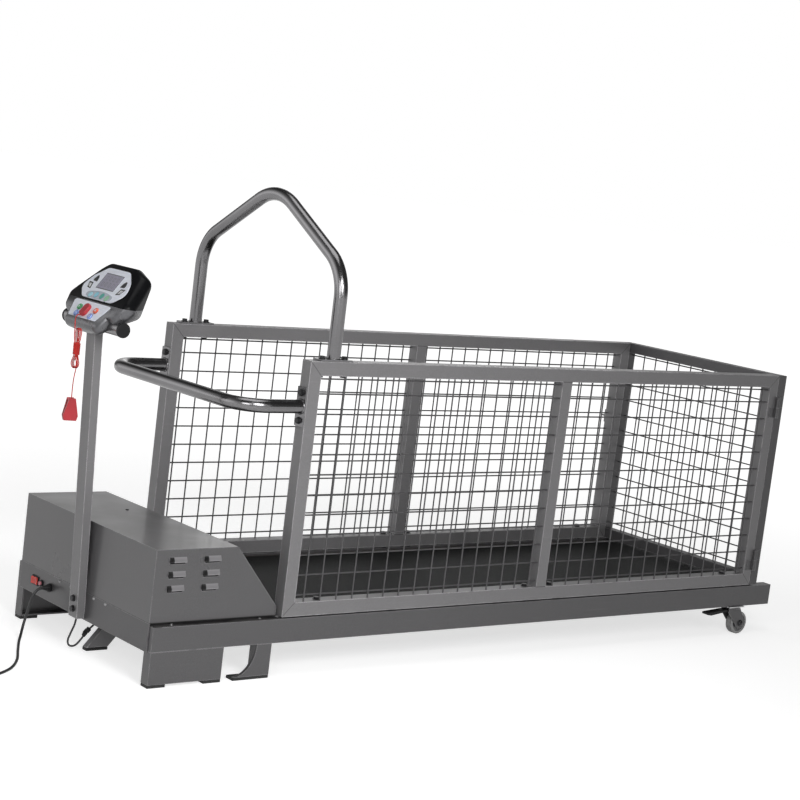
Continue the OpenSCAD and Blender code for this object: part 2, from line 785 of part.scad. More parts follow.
// Straight tube between the bends is a hair slimmer than the bends
draw_step = 0.05;
module hoop_side() {
    leg = hoop_shoulder - flange_t - shoulder_leg;
    roof = roof_len - shoulder_leg - ridge_leg;
    translate([0, hoop_half, cage_z1 + flange_t]) rotate([90, 0, 90]) {
        rotate([-90, 0, 0]) cylinder(r = pipe_r - draw_step, h = leg);
        translate([-shoulder_bend, leg, 0]) bend(shoulder_bend, shoulder_turn);
        translate([-shoulder_bend, leg, 0]) rotate([0, 0, shoulder_turn]) translate([shoulder_bend, 0, 0])
            rotate([-90, 0, 0]) cylinder(r = pipe_r - draw_step, h = roof);
    }
    translate([-flange_len / 2, hoop_half - tube / 2, cage_z1]) difference() {
        cube([flange_len, tube, flange_t]);
        for (s = [-1, 1]) translate([flange_len / 2 + s * flange_bolts / 2, tube / 2, -cut])
            cylinder(r = bolt_r + seat_gap, h = flange_t + cut * 2);
    }
}
module leash_hoop() {
    ridge_z = cage_z1 + hoop_shoulder + hoop_half * tan(hoop_slope);
    color(bright_steel) translate([cage_x0 + hoop_back, 0, 0]) {
        for (a = [0, 180]) rotate([0, 0, a]) hoop_side();
        translate([0, 0, ridge_z - ridge_bend / cos(hoop_slope)]) rotate([90, 0, 90])
            rotate([0, 0, 90 - hoop_slope]) bend(ridge_bend, hoop_slope * 2);
    }
}

// Mast and console

module mast_axis() {
    translate([panel_front - mast_axis_fore, 0, ground_gap]) rotate([0, -mast_lean, 0]) children();
}
module mast() {
    long = (bar_z - ground_gap) / cos(mast_lean);
    color(steel_grey) difference() {
        mast_axis() translate([-mast_d / 2, -mast_w / 2, -mast_d]) cube([mast_d, mast_w, long + mast_d]);
        mast_axis() translate([-mast_d / 2 + mast_wall, -mast_w / 2 + mast_wall, -mast_d - cut])
            cube([mast_d - mast_wall * 2, mast_w - mast_wall * 2, long + mast_d]);
        translate([panel_front, -mast_w, ground_gap - mast_d * 2])
            cube([mast_d, mast_w * 2, mast_d * 2 + long]);
        translate([panel_front - mast_d * 3, -mast_w, ground_gap - mast_d * 3])
            cube([mast_d * 4, mast_w * 2, mast_d * 3]);
        translate([bar_x, -mast_w, bar_z]) bar_y(pipe_r, mast_w * 2);
        for (z = mast_bolt_levels()) {
            translate([panel_front - mast_d * 2, 0, z]) bar_x(bolt_r + seat_gap, mast_d * 3);
            translate([mast_bolt_head_x(z) - mast_d, 0, z]) bar_x(washer_r + seat_gap, mast_d);
        }
    }
}
bar_wall = 2;
module handlebar() {
    color(bright_steel) translate([bar_x, -bar_len / 2, bar_z]) difference() {
        bar_y(pipe_r, bar_len);
        translate([0, -cut, 0]) bar_y(pipe_r - bar_wall, bar_len + cut * 2);
    }
}
cap_plug = 20;
module handlebar_caps() {
    color(black_plastic) mirrored() translate([bar_x, bar_len / 2, bar_z]) {
        bar_y(pipe_r + cap_rim, cap_len);
        translate([0, -cap_plug, 0]) bar_y(pipe_r - bar_wall, cap_plug);
    }
}
cap_rim = 1;

// Console frame: face at x = 0 looking along -x, y across, z up the face from the lower overlay's edge
module console() { translate([face_x, 0, face_z]) rotate([0, face_tilt, 0]) children(); }

face_half = 112;
face_mid = 62;
face_top = 148;
top_half = 52;
shell_r = 24;
shell_in = 18;
crown_in = 26;
crown_half = 81;
crown_z = 138;
back_in = 49;
back_half = 82;
back_z = 78;
low_half = 100;
low_z = 40;
lip_half = 63;
lip_r = 18;
lip_z = lip_r - lip_drop;
bed_half = 76;
bed_z = 36;
keel_in = 24;
keel_half = 32;
heel_half = 66;
heel_z = 72;
seam_z = 51;
seam_rise = 0.7;
seam_gap = 0.3;
shell_fn = 24;

module ball_pair(x, half, z, r) {
    for (s = [-1, 1]) translate([x, s * half, z]) sphere(r = r, $fn = shell_fn);
}
// Body of the console: flat face in front, crowned top and a deeper back
module main_body() {
    hull() {
        ball_pair(shell_in, top_half, face_top, shell_r);
        ball_pair(shell_in, face_half, face_mid, shell_r);
        ball_pair(shell_in, low_half, low_z, shell_r);
        ball_pair(crown_in, crown_half, crown_z, shell_r);
        ball_pair(back_in, back_half, back_z, shell_r);
    }
}
// Lip under the face, with the bed of the lower overlay and the keel over the mast
module lip_body() {
    hull() {
        ball_pair(lip_r, lip_half, lip_z, lip_r);
        ball_pair(lip_r, bed_half, bed_z, lip_r);
        ball_pair(keel_in, keel_half, lip_z, lip_r);
        ball_pair(back_in, heel_half, heel_z, lip_r);
    }
}
// Everything above the seam, which climbs from between the overlays to the back
module above_seam(gap) {
    reach = face_top * 2;
    rotate([90, 0, 0]) translate([0, 0, -reach]) linear_extrude(reach * 2)
        polygon([[0, seam_z + gap], [0, reach], [(reach - seam_z - gap) / seam_rise, reach]]);
}
module face_cut() {
    translate([-shell_r * 2, -face_half * 2, -face_top]) cube([shell_r * 2, face_half * 4, face_top * 3]);
}
module console_upper_shell() {
    color(black_plastic) difference() {
        console() difference() {
            intersection() {
                main_body();
                above_seam(seam_gap);
            }
            face_cut();
            face_wells();
        }
        bar_seat();
    }
}
// Wells behind the face for the key stems and the safety key's stud
module face_wells() {
    for (k = key_places()) translate([-cut, k[0], k[1]]) bar_x(key_stem_r + run_gap, key_well + cut);
    translate([-cut, 0, safety_z]) bar_x(safety_stud_r + run_gap, safety_stud_len + cut * 2);
}
module console_lower_shell() {
    color(steel_grey) difference() {
        console() difference() {
            union() {
                lip_body();
                main_body();
            }
            above_seam(0);
            face_cut();
            face_wells();
        }
        bar_seat();
        mast_axis() translate([-mast_d / 2 - seat_gap, -mast_w / 2 - seat_gap, 0])
            cube([mast_d + seat_gap * 2, mast_w + seat_gap * 2, (bar_z - ground_gap)]);
    }
}
module bar_seat() { translate([bar_x, -bar_len, bar_z]) bar_y(pipe_r, bar_len * 2); }

// Overlays, display window and lenses on the console face
lower_overlay_half = [65, 82];
lower_overlay_z = [0, 48];
upper_overlay_half = [82, 98, 89, 63];
upper_overlay_z = [57, 114, 130, 151];
overlay_corners = [6, 22];
display_half = 39;
display_z = [90, 134];
lens_places = [[38, 67], [13, 70], [-13, 70], [-38, 67]];
lens_r = 8;
module flat_on_face(t) { rotate([90, 0, -90]) linear_extrude(t) children(); }
module rounded_outline(halves, levels, corner) {
    hull() for (i = [0 : len(halves) - 1], s = [-1, 1])
        translate([s * (halves[i] - corner), levels[i] + (i == 0 ? corner : -corner)])
            circle(r = corner, $fn = 24);
}
module console_overlays() {
    color([0.72, 0.73, 0.76]) console() {
        flat_on_face(overlay_t) difference() {
            rounded_outline(lower_overlay_half, lower_overlay_z, overlay_corners[0]);
            for (k = key_places()) translate([-k[0], k[1]]) circle(r = key_r + seat_gap);
            translate([0, safety_z]) circle(r = safety_stud_r + run_gap);
        }
        flat_on_face(overlay_t) difference() {
            rounded_outline(upper_overlay_half, upper_overlay_z, overlay_corners[1]);
            translate([-display_half, display_z[0]]) square([display_half * 2, display_z[1] - display_z[0]]);
            for (p = lens_places) translate([-p[0], p[1]]) circle(r = lens_r);
        }
    }
}
module console_windows() {
    color([0.45, 0.44, 0.50]) console() {
        flat_on_face(overlay_t * 1.5) translate([-display_half + fit_gap, display_z[0] + fit_gap])
            square([display_half * 2 - fit_gap * 2, display_z[1] - display_z[0] - fit_gap * 2]);
        for (p = lens_places)
            flat_on_face(overlay_t * 1.5) translate([-p[0], p[1]]) circle(r = lens_r - fit_gap);
    }
}

// Console keys: caps over the overlay on stems in the upper shell
key_r = 8.5;
key_stem_r = 4;
key_well = 12;
key_stem_len = 8;
key_proud = 3;
key_y = [38, 32];
key_z = [27, 8.8];
function key_places() = [for (i = [0, 1], s = [1, -1]) [s * key_y[i], key_z[i]]];
module console_key(place) {
    console() translate([0, place[0], place[1]]) {
        translate([-overlay_t - key_proud, 0, 0]) bar_x(key_r * 0.9, key_proud);
        translate([-overlay_t, 0, 0]) bar_x(key_stem_r, overlay_t + key_stem_len);
    }
}
module start_key() { color([0.25, 0.62, 0.36]) console_key(key_places()[0]); }
module stop_key() { color([0.85, 0.33, 0.25]) console_key(key_places()[1]); }
module speed_down_key() { color([0.55, 0.65, 0.90]) console_key(key_places()[2]); }
module speed_up_key() { color([0.55, 0.65, 0.90]) console_key(key_places()[3]); }

// Safety key: oval pull-off cap with a stud in the console
safety_z = 21;
safety_half = 11.5;
safety_long = 17;
safety_t = 9;
safety_stud_r = 5;
safety_stud_len = 8;
module safety_key() {
    color(signal_red) console() {
        translate([-overlay_t, 0, 0]) flat_on_face(safety_t) hull() for (s = [-1, 1])
            translate([0, safety_z + s * (safety_long - safety_half)]) circle(r = safety_half, $fn = 32);
        translate([-overlay_t, 0, safety_z]) bar_x(safety_stud_r, overlay_t + safety_stud_len);
    }
}

// Swept round cord: rings of equal sides along a list of points
function unit(v) = v / norm(v);
function tangent_at(p, i) = unit(p[min(i + 1, len(p) - 1)] - p[max(i - 1, 0)]);
function carry(n, t) = unit(n - t * (n * t));
function normals(p, i = 0, n = undef, out = []) = i == len(p) ? out :
    let(t = tangent_at(p, i), start = abs(t[2]) > 0.9 ? [1, 0, 0] : [0, 0, 1],
        m = carry(is_undef(n) ? start : n, t))
    normals(p, i + 1, m, concat(out, [m]));
function ring(c, t, n, r, sides) = [for (k = [0 : sides - 1])
    let(a = 360 * k / sides) c + r * (cos(a) * n + sin(a) * cross(t, n))];
module swept_cord(p, d, sides) {
    n = normals(p);
    last = len(p) - 1;
    points = [for (i = [0 : last]) each ring(p[i], tangent_at(p, i), n[i], d / 2, sides)];
    walls = [for (i = [0 : last - 1], k = [0 : sides - 1])
        let(a = i * sides + k, b = i * sides + (k + 1) % sides)
        each [[a, a + sides, b + sides], [a, b + sides, b]]];
    ends = [for (k = [1 : sides - 2]) each [[0, k, k + 1],
        [last * sides, last * sides + k + 1, last * sides + k]]];
    polyhedron(points = points, faces = concat(walls, ends));
}
// Smooth curve through hand-picked points, steps rings to each span
function spline_point(a, b, c, d, t) = 0.5 * ((2 * b) + (c - a) * t + (2 * a - 5 * b + 4 * c - d) * t * t
    + (3 * b - a - 3 * c + d) * t * t * t);
function smooth(p, steps) = [for (i = [0 : len(p) - 2], s = [0 : steps - 1])
    spline_point(p[max(i - 1, 0)], p[i], p[i + 1], p[min(i + 2, len(p) - 1)], s / steps), p[len(p) - 1]];
function least_gap(p, d, skip) = min([for (i = [0 : len(p) - 1], j = [i + skip : 1 : len(p) - 1])
    norm(p[i] - p[j])]) - d;

// Lanyard: from the safety key over the console's lip, through the hank, down to the clip
lanyard_d = 2.4;
face_at = [face_x, 0, face_z];
lanyard_route = [[-4, 0, 7], [-10, -3, 8], [-20, -11, 4], [-29, -24, -4]];
lanyard_fall = [[-26, -42, -114], [-29, -45, -132], [-31, -46, -152], [-31, -46, -204]];
hank_at = face_at + [-31, -46, -67];
module lanyard_cord() {
    path = hank_path();
    start = hank_at + path[0];
    end = hank_at + path[len(path) - 1];
    drop = [for (s = [1.6, 0.8, 0]) start + [0, 0, hank_r * s]];
    over = concat([for (p = lanyard_route) p + face_at], drop);
    fall = concat([end, end - [0, 0, hank_run / 2]], [for (p = lanyard_fall) p + face_at]);
    color(signal_red) {
        swept_cord(smooth(over, 4), lanyard_d, 8);
        swept_cord(smooth(fall, 4), lanyard_d, 8);
    }
}
// Hank: long loops side by side, one unbroken tube
hank_loops = 3;
hank_r = 5;
hank_run = 84;
hank_tail = 38;
hank_pitch = 3.4;
hank_arc_rings = 7;
hank_line_rings = 5;
function hank_loop(i) = concat(
    [for (k = [0 : hank_line_rings - 1]) [0, hank_r, hank_run / 2 - hank_run * k / hank_line_rings]],
    [for (k = [0 : hank_arc_rings - 1]) let(a = 180 * k / hank_arc_rings)
        [0, hank_r * cos(a), -hank_run / 2 - hank_r * sin(a)]],
    [for (k = [0 : hank_line_rings - 1]) [0, -hank_r, -hank_run / 2 + hank_run * k / hank_line_rings]],
    [for (k = [0 : hank_arc_rings - 1]) let(a = 180 * k / hank_arc_rings)
        [0, -hank_r * cos(a), hank_run / 2 + hank_r * sin(a)]]);
hank_rings = (hank_arc_rings + hank_line_rings) * 2;
function hank_path() = let(flat = [for (i = [0 : hank_loops - 1]) each hank_loop(i)], n = len(flat))
    concat([for (k = [0 : n - 1]) flat[k] + [hank_pitch * (k / hank_rings - hank_loops / 2), 0, 0]],
        [for (z = [hank_run / 2, hank_tail]) [hank_pitch * hank_loops / 2, hank_r, z]]);
module lanyard_hank() { color(signal_red) translate(hank_at) swept_cord(hank_path(), lanyard_d, 6); }
echo(hank_gap = least_gap(hank_path(), lanyard_d, 6));

// Clip: two jaws on a spring pin, at the lanyard's end
clip_w = 36;
clip_h = 54;
clip_t = 5;
clip_pin_r = 3;
clip_gap = 4.5;
clip_open = 7;
clip_turn = 75;
clip_pin_share = 0.4;
clip_end_share = 0.22;
clip_waist_share = 0.78;
clip_toe_share = 0.42;
module clip_outline() {
    polygon([[-clip_w * clip_end_share, 0], [clip_w * clip_end_share, 0],
        [clip_w / 2, -clip_h * clip_waist_share], [clip_w * clip_toe_share, -clip_h],
        [-clip_w * clip_toe_share, -clip_h], [-clip_w / 2, -clip_h * clip_waist_share]]);
}
module lanyard_clip() {
    foot = lanyard_fall[len(lanyard_fall) - 1] + face_at;
    color(signal_red) translate(foot) rotate([0, 0, clip_turn]) {
        for (s = [-1, 1]) translate([s * clip_gap, 0, -clip_t / 2]) rotate([0, s * clip_open, 0])
            translate([s > 0 ? 0 : -clip_t, 0, clip_h * clip_pin_share])
                rotate([90, 0, 90]) linear_extrude(clip_t) clip_outline();
        translate([-clip_gap - clip_t, 0, -clip_pin_r - run_gap])
            bar_x(clip_pin_r, (clip_gap + clip_t) * 2);
        translate([-clip_gap - seat_gap, -clip_pin_r, -clip_t])
            cube([clip_gap * 2 + seat_gap * 2, clip_pin_r * 2, clip_t]);
    }
}

// Power fittings on the front panel

switch_edge_gap = 66;
breaker_pitch = 31;
grip_pitch = 45;
switch_y = rail_in - switch_edge_gap;
breaker_y = switch_y - breaker_pitch;
grip_y = breaker_y - grip_pitch;
switch_z = rail_top - rail_h * 0.45;
bezel_rim = 2.5;
bezel_out = 2.5;
switch_depth = 18;
breaker_body_r = 6.5;
breaker_nut_r = 9;
breaker_nut_h = 4;
breaker_depth = 16;
grip_thread_r = 7;
module switch_bodies() {
    well_w = switch_w - bezel_rim * 2 - run_gap * 2;
    well_h = switch_h - bezel_rim * 2 - run_gap * 2;
    color(black_plastic) {
        translate([panel_front, switch_y, switch_z]) difference() {
            union() {
                translate([-bezel_out, -switch_w / 2, -switch_h / 2]) cube([bezel_out, switch_w, switch_h]);
                translate([0, -switch_w / 2 + bezel_rim, -switch_h / 2 + bezel_rim])
                    cube([switch_depth, switch_w - bezel_rim * 2, switch_h - bezel_rim * 2]);
            }
            translate([-bezel_out - cut, -well_w / 2, -well_h / 2])
                cube([bezel_out + cut + switch_depth - bezel_rim, well_w, well_h]);
        }
        translate([panel_front, breaker_y, switch_z]) difference() {
            union() {
                translate([-breaker_nut_h, 0, 0]) bar_x(breaker_nut_r, breaker_nut_h, $fn = 6);
                bar_x(breaker_body_r, breaker_depth);
            }
            translate([-breaker_nut_h - cut, 0, 0])
                bar_x(button_r + run_gap, breaker_nut_h + breaker_depth - bezel_rim);
        }
    }
}
// Rocker with two slanted faces, turning about an upright pin in the bezel's mouth
rocker_proud = 4.5;
rocker_deep = 9;
module power_rocker() {
    half = switch_w / 2 - bezel_rim - run_gap * 3;
    tall = switch_h - bezel_rim * 2 - run_gap * 4;
    color(signal_red) translate([panel_front - bezel_out, switch_y, switch_z]) rotate([0, 0, rocker_tilt])
        intersection() {
            translate([0, 0, -tall / 2]) linear_extrude(tall)
                polygon([[rocker_deep, -half * 0.6], [rocker_deep, half * 0.6], [0, half],
                    [-rocker_proud, half], [-rocker_proud * 0.35, 0], [-rocker_proud, -half], [0, -half]]);
            translate([0, 0, -tall]) cylinder(r = half, h = tall * 2);
        }
}
button_proud = 4;
button_len = 9;
module breaker_button() {
    color([0.80, 0.45, 0.50]) translate([panel_front - breaker_nut_h - button_proud, breaker_y, switch_z])
        bar_x(button_r, button_proud + button_len);
}
// Strain relief: hex nut and a tapered sleeve
grip_nut_r = 11;
grip_nut_h = 7;
grip_len = 22;
module cord_grip() {
    color(black_plastic) translate([panel_front, grip_y, switch_z]) difference() {
        union() {
            translate([-grip_nut_h, 0, 0]) bar_x(grip_nut_r, grip_nut_h, $fn = 6);
            translate([-grip_nut_h, 0, 0]) rotate([0, -90, 0])
                cylinder(r1 = grip_nut_r * 0.8, r2 = cord_d * 0.62, h = grip_len - grip_nut_h);
            bar_x(grip_thread_r, sheet_t + grip_nut_h);
        }
        translate([-grip_len - cut, 0, 0])
            bar_x(cord_d / 2 + seat_gap, grip_len + sheet_t + grip_nut_h + cut * 2);
    }
}

// Power cord: out of the grip, down to the floor and off to the front
// Route points stand off the rails' front end, with heights that follow the fittings
route_rail0 = -365;
route_grip_y = 155;
route_grip_z = 120;
route_gap = 87;
power_route = [[-364, 155, 120], [-377, 155, 120], [-390, 155, 120], [-404, 155, 116], [-415, 155, 101],
    [-422, 155, 78], [-429, 154, 52], [-437, 150, 29], [-450, 134, 10], [-470, 104, 3.6], [-512, 30, 3.6],
    [-556, -48, 3.6], [-606, -108, 3.6], [-670, -146, 3.6], [-742, -166, 3.6], [-814, -172, 3.6]];
function power_point(p) = [p[0] + x_rail0 - route_rail0, p[1] + grip_y - route_grip_y,
    max(p[2] * switch_z / route_grip_z, coil_floor)];
function path_len(p) = norm_sum([for (i = [1 : len(p) - 1]) norm(p[i] - p[i - 1])]);
function norm_sum(v) = v * [for (x = v) 1];
module power_cord() {
    color(black_plastic) swept_cord(smooth([for (p = power_route) power_point(p)], 5), cord_d, 8);
}
// Stored cord: spirals in on the floor, climbs in half a turn and spirals out on top
coil_pitch = cord_d + 2;
coil_climb = cord_d + 1;
coil_rings = 24;
coil_floor = cord_d / 2 + 0.1;
function coil_at(t) = let(n = coil_turns, a = 360 * t,
    r = coil_r_in + coil_pitch * max(n - t, t - n - 0.5, 0),
    z = t < n ? 0 : t < n + 0.5 ? coil_climb * (t - n) * 2 : coil_climb)
    [r * cos(a), -r * sin(a), coil_floor + z];
function coil_path() = let(total = coil_turns * 2 + 0.5, n = round(total * coil_rings))
    concat([coil_at(0) + [0, cord_d * 2, 0]], [for (k = [0 : n]) coil_at(total * k / n)],
        [coil_at(total) + [0, cord_d * 2, 0]]);
coil_end = power_route[len(power_route) - 1];
coil_turn = 275;
coil_shift = power_point(coil_end);
module coil_frame() {
    translate([coil_shift[0], coil_shift[1], 0]) rotate([0, 0, coil_turn])
        translate([-coil_at(0)[0], -cord_d * 2, 0]) children();
}
module power_coil() { color(black_plastic) coil_frame() swept_cord(coil_path(), cord_d, 6); }
echo(coil_gap = least_gap(coil_path(), cord_d, 8));
echo(power_len = path_len(smooth([for (p = power_route) power_point(p)], 5)));
echo(coil_len = path_len(coil_path()));

// Plug at the cord's end
plug_len = 46;
plug_w = 28;
plug_h = 22;
plug_pin_r = 2.4;
plug_pin_len = 19;
module power_plug() {
    total = coil_turns * 2 + 0.5;
    tail = coil_at(total) + [0, cord_d * 2, 0];
    color(black_plastic) coil_frame() translate(tail) {
        hull() {
            rotate([-90, 0, 0]) cylinder(r = cord_d * 0.7, h = cord_d, $fn = 32);
            translate([-plug_w / 2, plug_len * 0.4, -plug_h / 2]) cube([plug_w, plug_len * 0.6, plug_h]);
        }
        for (s = [-1, 1]) translate([s * plug_w * 0.3, plug_len, 0]) bar_y(plug_pin_r, plug_pin_len);
    }
}

// Console cable: loops down from the mast's open foot and back up into the motor pan
cable_d = 5;
cable_route = [[-377, 0, 98], [-377, 0, 86], [-378, 4, 66], [-382, 12, 42], [-384, 18, 22], [-379, 17, 10],
    [-369, 8, 12],    [-359, -2, 30], [-350, -9, 50], [-338, -13, 64], [-326, -14, 75], [-323, -14, 80]];
function cable_point(p) = [p[0] + x_rail0 - route_rail0, p[1], p[2] * ground_gap / route_gap];
module console_cable() {
    bent = smooth([for (p = cable_route) cable_point(p)], 4);
    last = bent[len(bent) - 1];
    color(black_plastic) swept_cord(concat(bent, [[last[0], last[1], ground_gap]]), cable_d, 8);
}

// Casters

swivel_x = x_rail1 - swivel_inset;
swivel_y = half_w - rail_w / 2;
plate_t = 3;
plate_len = 66;
plate_w = 44;
fork_top_r = 26;
fork_top_t = 4;
fork_top_z = ground_gap - plate_t - run_gap;
fork_wall = 3;
fork_half = wheel_w / 2 + run_gap * 3;
wheel_z = wheel_d / 2;
kingpin_len = fork_top_t + run_gap + 5;
module caster_plates() {
    color(dark_grey) mirrored() translate([swivel_x, swivel_y, ground_gap - plate_t]) {
        translate([-plate_len / 2, -plate_w / 2, 0]) cube([plate_len, plate_w, plate_t]);
        translate([0, 0, -kingpin_len]) cylinder(r = kingpin_r, h = kingpin_len);
        translate([0, 0, -kingpin_len])
            cylinder(r = kingpin_r * 1.5, h = kingpin_len - fork_top_t - run_gap * 2);
    }
}
module caster_fork() {
    axle_half = fork_half + fork_wall + pivot_ear;
    color(steel_grey) translate([swivel_x, swivel_y, 0]) {
        difference() {
            translate([0, 0, fork_top_z - fork_top_t]) cylinder(r = fork_top_r, h = fork_top_t);
            translate([0, 0, fork_top_z - fork_top_t - cut])
                cylinder(r = kingpin_r + fit_gap, h = fork_top_t + cut * 2);
        }
        for (s = [-1, 1]) translate([0, s * (fork_half + fork_wall / 2) + fork_wall / 2, 0])
            rotate([90, 0, 0]) linear_extrude(fork_wall) difference() {
                fork_side();
                translate([trail, wheel_z]) circle(r = wheel_bolt_r);
            }
        translate([trail, -axle_half, wheel_z]) bar_y(wheel_bolt_r, axle_half * 2);
        for (y = [fork_half + fork_wall, -fork_half - fork_wall - bolt_head_h])
            translate([trail, y, wheel_z]) bar_y(bolt_head_r, bolt_head_h, $fn = 6);
        translate([-pedal_pivot, -fork_half - fork_wall, pedal_z])
            bar_y(pedal_pin_r, (fork_half + fork_wall) * 2);
    }
}
pivot_ear = 2;
fork_eye_r = 18;
pedal_pin_r = 2.5;
pedal_pivot = 20;
pedal_z = fork_top_z - fork_top_t - 6;
// Side of a fork: a plate that narrows from the swivel plate to the wheel bolt
module fork_side() {
    hull() {
        translate([-fork_top_r, pedal_z - pedal_pin_r * 2])
            square([fork_top_r * 1.8, fork_top_z - pedal_z + pedal_pin_r * 2]);
        translate([trail, wheel_z]) circle(r = fork_eye_r, $fn = 32);
    }
}
module near_caster_fork() { mirror([0, 1, 0]) caster_fork(); }
module far_caster_fork() { caster_fork(); }
tread_r = 4;
module caster_wheel() {
    color([0.66, 0.66, 0.66]) translate([swivel_x + trail, swivel_y, wheel_z]) rotate([90, 0, 0])
        rotate_extrude($fn = 64) polygon(wheel_section());
}
// Half section of a wheel: hub, dished web and rounded tread
function wheel_section() = let(r = wheel_d / 2, h = wheel_w / 2, b = wheel_bolt_r + fit_gap)
    concat([[b, -h], [b * 2.2, -h], [b * 2.4, -h * 0.5], [r * 0.72, -h * 0.5], [r * 0.76, -h]],
        [for (a = [-90 : 15 : 0]) [r - tread_r + tread_r * cos(a), -h + tread_r + tread_r * sin(a)]],
        [for (a = [0 : 15 : 90]) [r - tread_r + tread_r * cos(a), h - tread_r + tread_r * sin(a)]],
        [[r * 0.76, h], [r * 0.72, h * 0.5], [b * 2.4, h * 0.5], [b * 2.2, h], [b, h]]);
module near_caster_wheel() { mirror([0, 1, 0]) caster_wheel(); }
module far_caster_wheel() { caster_wheel(); }
// Brake pedal between the fork sides, with a broad toe ahead of them
pedal_t = 4;
pedal_root = 12;
module caster_pedal() {
    half = fork_half - run_gap;
    color(black_plastic) translate([swivel_x - pedal_pivot, swivel_y, pedal_z]) difference() {
        rotate([90, 0, 0]) translate([0, 0, -half]) linear_extrude(half * 2)
            polygon([[pedal_pin_r * 2, -pedal_pin_r * 1.6], [pedal_pin_r * 2, pedal_pin_r * 1.2],
                [-pedal_root * 1.5, pedal_pin_r * 1.2], [-pedal_len, -pedal_pin_r],
                [-pedal_len, -pedal_pin_r - pedal_t * 1.5], [-pedal_len * 0.85, -pedal_pin_r - pedal_t * 2],
                [-pedal_root * 2, -pedal_pin_r * 1.6]]);
        translate([0, -half - cut, 0]) bar_y(pedal_pin_r + fit_gap, half * 2 + cut * 2);
    }
}
module near_caster_pedal() { mirror([0, 1, 0]) caster_pedal(); }
module far_caster_pedal() { caster_pedal(); }

side_rails();
cross_members();
front_panel();
front_legs();
front_strut();
foot_pads();
deck_board();
running_belt();
drive_roller();
rear_roller();
roller_axles();
tension_screws();
drive_motor();
motor_flywheel();
drive_belt();
motor_controller();
motor_hood();
hood_screws();
near_cage_frame();
far_cage_frame();
near_cage_mesh();
far_cage_mesh();
hex_bolts();
gate_frame();
gate_mesh();
gate_hinges();
latch_bolt();
latch_keeper();
front_u_bar();
leash_hoop();
mast();
handlebar();
handlebar_caps();
console_lower_shell();
console_upper_shell();
console_overlays();
console_windows();
start_key();
stop_key();
speed_up_key();
speed_down_key();
safety_key();
lanyard_cord();
lanyard_hank();
lanyard_clip();
switch_bodies();
power_rocker();
breaker_button();
cord_grip();
power_cord();
power_coil();
power_plug();
console_cable();
caster_plates();
near_caster_fork();
far_caster_fork();
near_caster_wheel();
far_caster_wheel();
near_caster_pedal();
far_caster_pedal();
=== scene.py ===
"""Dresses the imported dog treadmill: studio, cords, finishes on every solid and the fine made detail."""

from __future__ import annotations

import logging
import math
from collections.abc import Sequence
from dataclasses import dataclass
from enum import Enum

import bmesh
import bpy
from mathutils import Matrix, Vector


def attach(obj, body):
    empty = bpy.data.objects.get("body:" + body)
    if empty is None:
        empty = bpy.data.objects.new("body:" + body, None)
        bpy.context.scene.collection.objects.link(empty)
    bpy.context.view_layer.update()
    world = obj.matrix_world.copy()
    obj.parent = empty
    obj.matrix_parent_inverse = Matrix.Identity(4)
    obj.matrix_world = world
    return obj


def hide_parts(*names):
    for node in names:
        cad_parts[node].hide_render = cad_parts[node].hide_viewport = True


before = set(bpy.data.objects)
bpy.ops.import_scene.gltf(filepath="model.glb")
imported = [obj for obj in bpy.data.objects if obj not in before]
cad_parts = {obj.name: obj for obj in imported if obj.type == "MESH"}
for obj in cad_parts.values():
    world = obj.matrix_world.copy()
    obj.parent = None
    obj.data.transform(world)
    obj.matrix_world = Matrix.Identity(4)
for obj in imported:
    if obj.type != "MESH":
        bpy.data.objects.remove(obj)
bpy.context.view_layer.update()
MM = 0.001
MERGE_M = 1e-7
WELD_M = 0.00002
WHITE = (1.0, 1.0, 1.0, 1.0)
LOG = logging.getLogger("treadmill")

Colour = tuple[float, float, float]
Point = tuple[float, float, float]
Spot = tuple[float, float]
Outline = tuple[Spot, ...]
Route = tuple[Point, ...]
Rows = tuple[tuple[object, ...], ...]
Mesh = bmesh.types.BMesh
Socket = bpy.types.NodeSocket
Material = bpy.types.Material


class Shade(Enum):
    """How a made mesh is shaded: the angle in degrees past which an edge stays sharp."""

    CREASED = 35.0
    SMOOTH = 180.0


class Axis(Enum):
    """The way a lathe frame's own z axis points, as the turn that brings it there from upright."""

    ALONG = (90, "Y")
    ACROSS = (-90, "X")
    UP = (0, "Z")


def metres(point: Sequence[float]) -> Vector:
    """Gives a point in metres from one in millimetres."""
    return Vector(point) * MM


def turned(degrees: float, axis: str) -> Matrix:
    """Gives a turn about an axis."""
    return Matrix.Rotation(math.radians(degrees), 4, axis)


def frame_at(point: Sequence[float], axis: Axis = Axis.UP) -> Matrix:
    """Makes a frame in metres at a point in millimetres, its z axis along, across or up the machine."""
    return Matrix.Translation(metres(point)) @ turned(*axis.value)


def lathe(profile: Sequence[Spot], frame: Matrix, steps: int = 40, closed: bool = False) -> Mesh:
    """Turns a profile about a frame's z axis.

    Args:
        profile: Radius and height pairs in millimetres.
        frame: The frame to turn in.
        steps: Facets round the axis.
        closed: Whether the profile's last point joins its first.

    Returns:
        The turned mesh.
    """
    bm = bmesh.new()
    rim = [bm.verts.new((r * MM, 0.0, h * MM)) for r, h in profile]
    edges = [bm.edges.new(pair) for pair in zip(rim, rim[1:])]
    if closed:
        edges.append(bm.edges.new((rim[-1], rim[0])))
    bmesh.ops.spin(bm, geom=rim + edges, cent=(0, 0, 0), axis=(0, 0, 1), dvec=(0, 0, 0), angle=math.tau,
                   steps=steps, use_merge=True)
    bmesh.ops.remove_doubles(bm, verts=bm.verts, dist=MERGE_M)
    bmesh.ops.dissolve_degenerate(bm, edges=bm.edges, dist=MERGE_M)
    bmesh.ops.transform(bm, matrix=frame, verts=bm.verts)
    return bm


